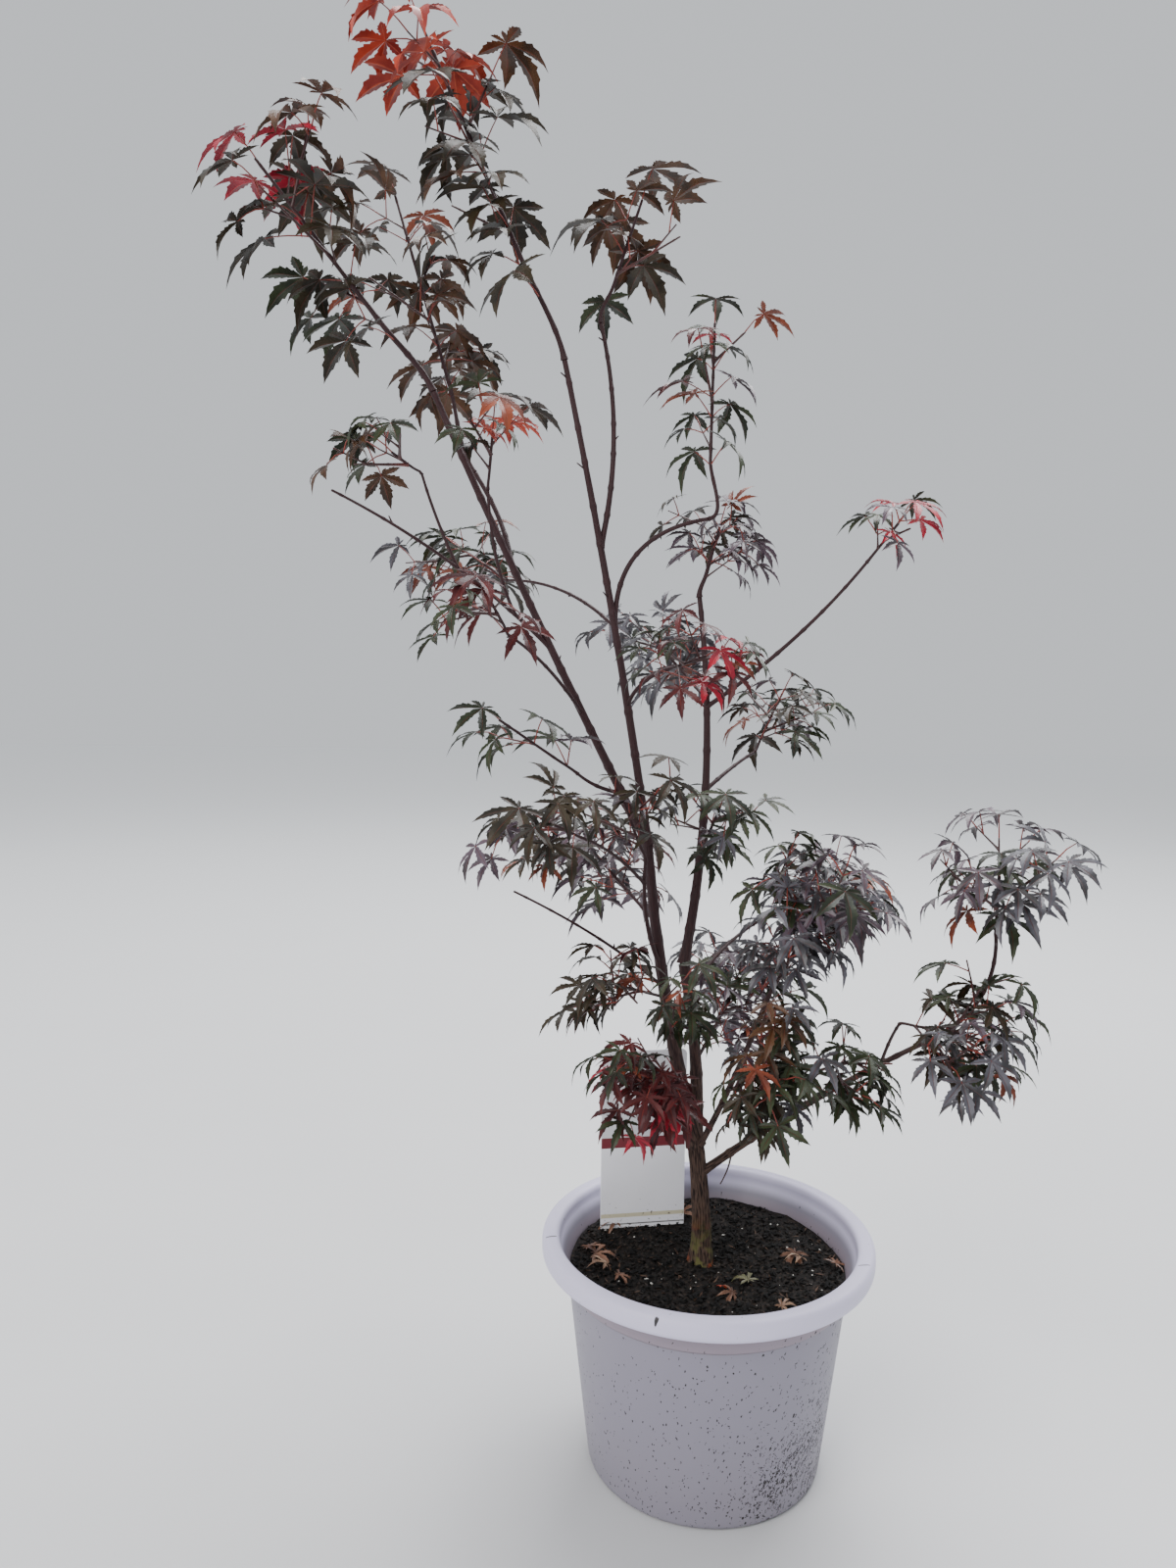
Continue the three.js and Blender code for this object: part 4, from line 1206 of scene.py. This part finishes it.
twig_luck = np.random.default_rng(5)
stems, twigs, stalks = [], [], []
for mass in masses:
    for curve, radii in mass.wood:
        if curve is mass.curve:
            stems.append(knobbed(curve, radii, TWIG_MESH, twig_luck, SwungStem(mass)))
        else:
            mesh = FINE_MESH if radii == FINE_RADII else TWIG_MESH
            twigs.append(knobbed(curve, radii, mesh, twig_luck))
for curve in bare_spurs(twig_luck):
    stems.append(knobbed(curve, SPUR_RADII, SPUR_MESH, twig_luck))
on, at, reach, bow, radii = HANGING_TWIG
stems.append(knobbed(Curve(limb_curves[on].place(at), reach, bow), radii, SPUR_MESH, twig_luck))
for mass in masses:
    for start, root, *_ in mass.leaves:
        curve = Curve(start, root - start, UP * float(twig_luck.uniform(*STALK_BOW)))
        stalks.append(tube(curve, stalk_radii(curve.length()), *STALK_MESH))
make_wood("mass_stems", stems, bark)
make_wood("twigs", twigs, finish("twig_bark", twig_paint))
make_wood("leaf_stalks", stalks, finish("leaf_stalks", stalk_paint))

# Leaves
# Thin leaves, cut almost to the stalk into toothed lobes that fold along their ribs and end in
# hanging tips. Old ones are dark olive, or plum grey with a waxy sheen where they are shaded, their
# grey light patches partly painted sheen; a few are rust brown, and the youngest crimson to flame red.
LOBE_WIDTHS = {"olive": 0.19, "plum": 0.135, "crimson": 0.13}
LOBE_FOLD = 0.42
LOBE_DROOP = 0.14
NOTCH_OF_LOBES = 0.25
RIB_STEPS = (0.28, 0.52, 0.76)
TEETH = 5
# Rows are where a tooth's point and the gap behind it lie, and how much wider or narrower they are
TOOTH = ((0.62, 1.1), (0.8, 0.84))
# Rows are a share along a lobe, and its width there as a share of its widest
LOBE_SHAPE = ((0, 0.42), (0.2, 0.78), (0.44, 1), (0.64, 0.82), (0.82, 0.38), (0.93, 0.12), (1, 0))
# Rows are a lobe's angle from the middle one, and its length as a share of that one's
LOBES = ((-142, 0.3), (-104, 0.6), (-48, 0.88), (0, 1), (48, 0.88), (104, 0.6), (142, 0.3))
# The last lobes have no neighbour on their outer side, and are notched as if one stood this far
# round, with this length
PAST_THE_LAST = (60, 0.3)


def lobe_half(index, side, corners, ribs, lobe_width):
    """One half of a lobe, as a strip of triangles between its rib and its toothed edge.

    Corners are rows of way forward, way aside, lift, share of the leaf's reach, rib and lobe.
    """
    degrees, length = LOBES[index]
    angle = math.radians(degrees)
    forward = np.array([math.cos(angle), math.sin(angle)])
    outward = np.array([-math.sin(angle), math.cos(angle)]) * side
    turn, next_length = PAST_THE_LAST
    if 0 <= index + side < len(LOBES):
        next_degrees, next_length = LOBES[index + side]
        turn = abs(next_degrees - degrees)
    notch_reach = NOTCH_OF_LOBES * min(length, next_length)
    first_way = notch_reach * math.cos(math.radians(turn / 2))
    edge = [(first_way, notch_reach * math.sin(math.radians(turn / 2)))]
    for tooth in range(TEETH):
        for shift, factor in TOOTH:
            share = (tooth + shift) / (TEETH + 0.35)
            width = factor * lobe_width * length * np.interp(share, *zip(*LOBE_SHAPE))
            edge.append((between((first_way, length), share), max(width, 0.004)))
    chain = []
    for way, width in edge:
        flat = forward * way + outward * width
        chain.append(len(corners))
        corners.append((*flat, LOBE_FOLD * width, math.hypot(way, width), 0, index))
    edge_ways = [way for way, _ in edge] + [math.inf]
    rib_ways = [0, *(between((first_way, length), step) for step in RIB_STEPS), length, math.inf]
    faces = []
    i, j = 0, 0
    while i < len(ribs) - 1 or j < len(chain) - 1:
        if edge_ways[j + 1] <= rib_ways[i + 1]:
            face = (ribs[i], chain[j], chain[j + 1])
            j += 1
        else:
            face = (ribs[i], chain[j], ribs[i + 1])
            i += 1
        faces.append(face if side < 0 else face[::-1])
    return faces


def leaf_pattern(lobe_width):
    """The corners and faces that every leaf is laid out from."""
    corners, faces = [(0, 0, 0, 0, 1, 0)], []
    for index, (degrees, length) in enumerate(LOBES):
        angle = math.radians(degrees)
        ribs = [0]
        first_way = NOTCH_OF_LOBES * length * 0.9
        for step in (*RIB_STEPS, 1):
            way = between((first_way, length), step)
            corners.append((way * math.cos(angle), way * math.sin(angle), 0, way, 1, index))
            ribs.append(len(corners) - 1)
        for side in (-1, 1):
            faces += lobe_half(index, side, corners, ribs, lobe_width)
    return np.array(corners, dtype=float), np.array(faces)


PATTERNS = {foliage: leaf_pattern(width) for foliage, width in LOBE_WIDTHS.items()}


def leaf_corners(pattern, root, axis, across, face, size, luck, curl=1.0):
    """One leaf's corners: cupped, with each lobe hanging by its own amount and its tip drawn down."""
    forward, aside, lift, share, _, lobe = pattern.T
    droop = luck.uniform(-LOBE_DROOP, LOBE_DROOP, len(LOBES))[lobe.astype(int)] * share
    tips = np.clip(share - 0.5, 0, None) ** 2
    folded = lift * luck.uniform(0.6, 1.3)
    height = folded - LEAF_CUP * share**2 - curl * luck.uniform(0.3, 1.3) * tips + droop
    flat = np.outer(forward, axis) + np.outer(aside, across) + np.outer(height, face)
    return np.asarray(root) + size * flat


def make_leaves(name, pattern, placed, finishes, slot):
    """Leaves of one pattern as one piece, from each leaf's corners and the number of its finish."""
    pattern_corners, pattern_faces = pattern
    corners, tints = zip(*placed)
    firsts = len(pattern_corners) * np.arange(len(placed))
    faces = (pattern_faces[None] + firsts[:, None, None]).reshape(-1, 3)
    tint_of_face = np.repeat(tints, len(pattern_faces))
    marks = {"rib": np.tile(pattern_corners[:, 4], len(placed))}
    return make_piece(name, np.concatenate(corners), faces, finishes, slot, tint_of_face, marks, sharp=24)


def leaf_paint(dark, light, rib):
    """A blade in dark and light patches, with its ribs in a colour of their own."""

    def paint(place):
        ribs = place.node("Attribute", {}, {"attribute_name": "rib"}, output="Fac")
        blade = blend(rise(cloud(place, 38, 2), 0.36, 0.64), dark, light)
        veined = rise(ribs, 0.87, 0.97)
        return {
            "Base Color": blend(0.75 * veined, blade, rib),
            "Roughness": 0.33 + 0.22 * cloud(place, 60),
            "Normal": relief(cloud(place, 420, 2) - 0.6 * veined, 0.0005, 0.5),
        }

    return paint


# Rows are a leaf's dark and light patches, and its ribs
LEAF_COLOURS = {
    "leaf_night": (ink(28, 24, 16), ink(54, 45, 29), ink(76, 40, 30)),
    "leaf_bronze": (ink(46, 31, 20), ink(82, 54, 32), ink(100, 50, 36)),
    # The light patches of the plum and slate tints are paler and greyer than the blade, as painted sheen.
    "leaf_plum": (ink(40, 29, 35), ink(86, 70, 82), ink(96, 48, 50)),
    "leaf_slate": (ink(38, 36, 39), ink(86, 84, 92), ink(90, 54, 52)),
    "leaf_moss": (ink(28, 33, 22), ink(52, 60, 37), ink(80, 46, 36)),
    "leaf_wine": (ink(56, 22, 26), ink(84, 34, 35), ink(116, 44, 38)),
    "leaf_crimson": (ink(124, 14, 36), ink(170, 26, 50), ink(184, 58, 60)),
    "leaf_flame": (ink(132, 38, 30), ink(180, 66, 46), ink(198, 92, 60)),
    "leaf_rust": (ink(88, 40, 27), ink(136, 66, 42), ink(122, 54, 38)),
}
# How often each tint is dealt to a spray, by foliage, and in shaded masses, whose darker mix is painted
# shade
SPRAYS = {
    "olive": {"leaf_night": 0.6, "leaf_bronze": 0.26, "leaf_moss": 0.14},
    "plum": {
        "leaf_plum": 0.34,
        "leaf_slate": 0.26,
        "leaf_moss": 0.2,
        "leaf_wine": 0.05,
        "leaf_night": 0.15,
    },
    "crimson": {"leaf_wine": 0.46, "leaf_moss": 0.26, "leaf_crimson": 0.16, "leaf_plum": 0.12},
    "shady": {"leaf_moss": 0.5, "leaf_night": 0.24, "leaf_slate": 0.14, "leaf_bronze": 0.12},
}
# Masses whose leaves take the darker mix, as painted shade.
SHADY_MASSES = ("front_right_leaves", "low_right_twig_leaves", "left_hanging_leaves")
# Masses whose young tips are flame red, where those of the others are crimson
FLAME_MASSES = ("middle_top_leaves", "left_cross_leaves")
# Odd leaves take a tint of their own, which is now and then rust brown
ODD_LEAVES = 0.16
ODD_TINTS = {"leaf_rust": 0.35}
SILVERY_TINTS = ("leaf_plum", "leaf_slate")
SILVERY_SHEEN = {"Specular IOR Level": 0.6}
PLAIN_SHEEN = {"Specular IOR Level": 0.3}
FIRST_LEAF_SEED = 304


def pick(shares, luck):
    """A name, chosen by chance as often as its share says."""
    chances = np.array(list(shares.values()))
    return list(shares)[int(luck.choice(len(shares), p=chances / sum(chances)))]


def tinted_leaves(mass):
    """Each leaf's corners and its tint. A spray has one tint, but for odd leaves and a young tip."""
    mix = SPRAYS["shady" if mass.name in SHADY_MASSES else mass.foliage]
    young_tint = "leaf_flame" if mass.name in FLAME_MASSES else "leaf_crimson"
    luck = np.random.default_rng(FIRST_LEAF_SEED + mass.index)
    spray_tints = [pick(mix, luck) for _ in range(mass.twigs + 1)]
    placed = []
    for start, root, axis, across, face, size, shoot in mass.leaves:
        tint = spray_tints[shoot]
        if luck.random() < ODD_LEAVES:
            tint = pick(mix | ODD_TINTS, luck)
        if (root - mass.curve.end).length < mass.red:
            tint = young_tint
        corners = leaf_corners(PATTERNS[mass.foliage][0], root, axis, across, face, size, luck)
        placed.append((corners, list(LEAF_COLOURS).index(tint)))
    return placed


leaf_finishes = []
for name, colours in LEAF_COLOURS.items():
    sheen = SILVERY_SHEEN if name in SILVERY_TINTS else PLAIN_SHEEN
    leaf_finishes.append(finish(name, leaf_paint(*colours), sheen))
for foliage, pattern in PATTERNS.items():
    alike = [mass for mass in masses if mass.foliage == foliage]
    placed = [leaf for mass in alike for leaf in tinted_leaves(mass)]
    leaves = make_leaves(foliage + "_leaves", pattern, placed, leaf_finishes, foliage + "_foliage")
    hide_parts(*(mass.name for mass in alike))

# Fallen leaves
# Dead brown leaves that have blown into the pot, curled and dry, one still orange and one green.
FALLEN_LIFT = 6
FALLEN_TILT = (-0.5, 0.5)
FALLEN_CURL = 3.2
# Rows are place, length of the middle lobe, and colours
FALLEN = (
    ((-126, 20), 24, "dead"),
    ((-118, 6), 26, "dead"),
    ((-108, -12), 22, "dead_pale"),
    ((-94, -34), 20, "dead"),
    ((97, 12), 26, "dead"),
    ((101, 2), 18, "dead_pale"),
    ((136, -8), 22, "dead"),
    ((9, -56), 17, "flame"),
    ((20, -66), 18, "dead"),
    ((39, -42), 22, "mossy"),
    ((-20, 96), 22, "dead"),
    ((-96, 74), 20, "dead"),
    ((66, -90), 16, "dead_pale"),
)
# Rows are a leaf's dark and light patches, and its ribs
FALLEN_COLOURS = {
    "dead": (ink(70, 44, 32), ink(122, 84, 62), ink(92, 58, 42)),
    "dead_pale": (ink(112, 82, 62), ink(158, 128, 104), ink(104, 70, 52)),
    "flame": (ink(168, 48, 34), ink(214, 92, 60), ink(190, 70, 50)),
    "mossy": (ink(66, 66, 44), ink(98, 96, 62), ink(98, 70, 50)),
}

fallen_luck = np.random.default_rng(31)
placed = []
for (x, y), size, tint in FALLEN:
    turn = fallen_luck.uniform(0, 2 * math.pi)
    face = Vector((fallen_luck.uniform(*FALLEN_TILT), fallen_luck.uniform(*FALLEN_TILT), 1)).normalized()
    axis = sideways(face, turn)
    lie = ((x, y, soil_height(x, y) + FALLEN_LIFT), axis, face.cross(axis), face, size)
    corners = leaf_corners(PATTERNS["plum"][0], *lie, fallen_luck, FALLEN_CURL)
    placed.append((corners, list(FALLEN_COLOURS).index(tint)))
fallen_finishes = []
for name, colours in FALLEN_COLOURS.items():
    fallen_finishes.append(finish("fallen_" + name, leaf_paint(*colours)))
make_leaves("fallen_leaves", PATTERNS["plum"], placed, fallen_finishes, "potting_soil")
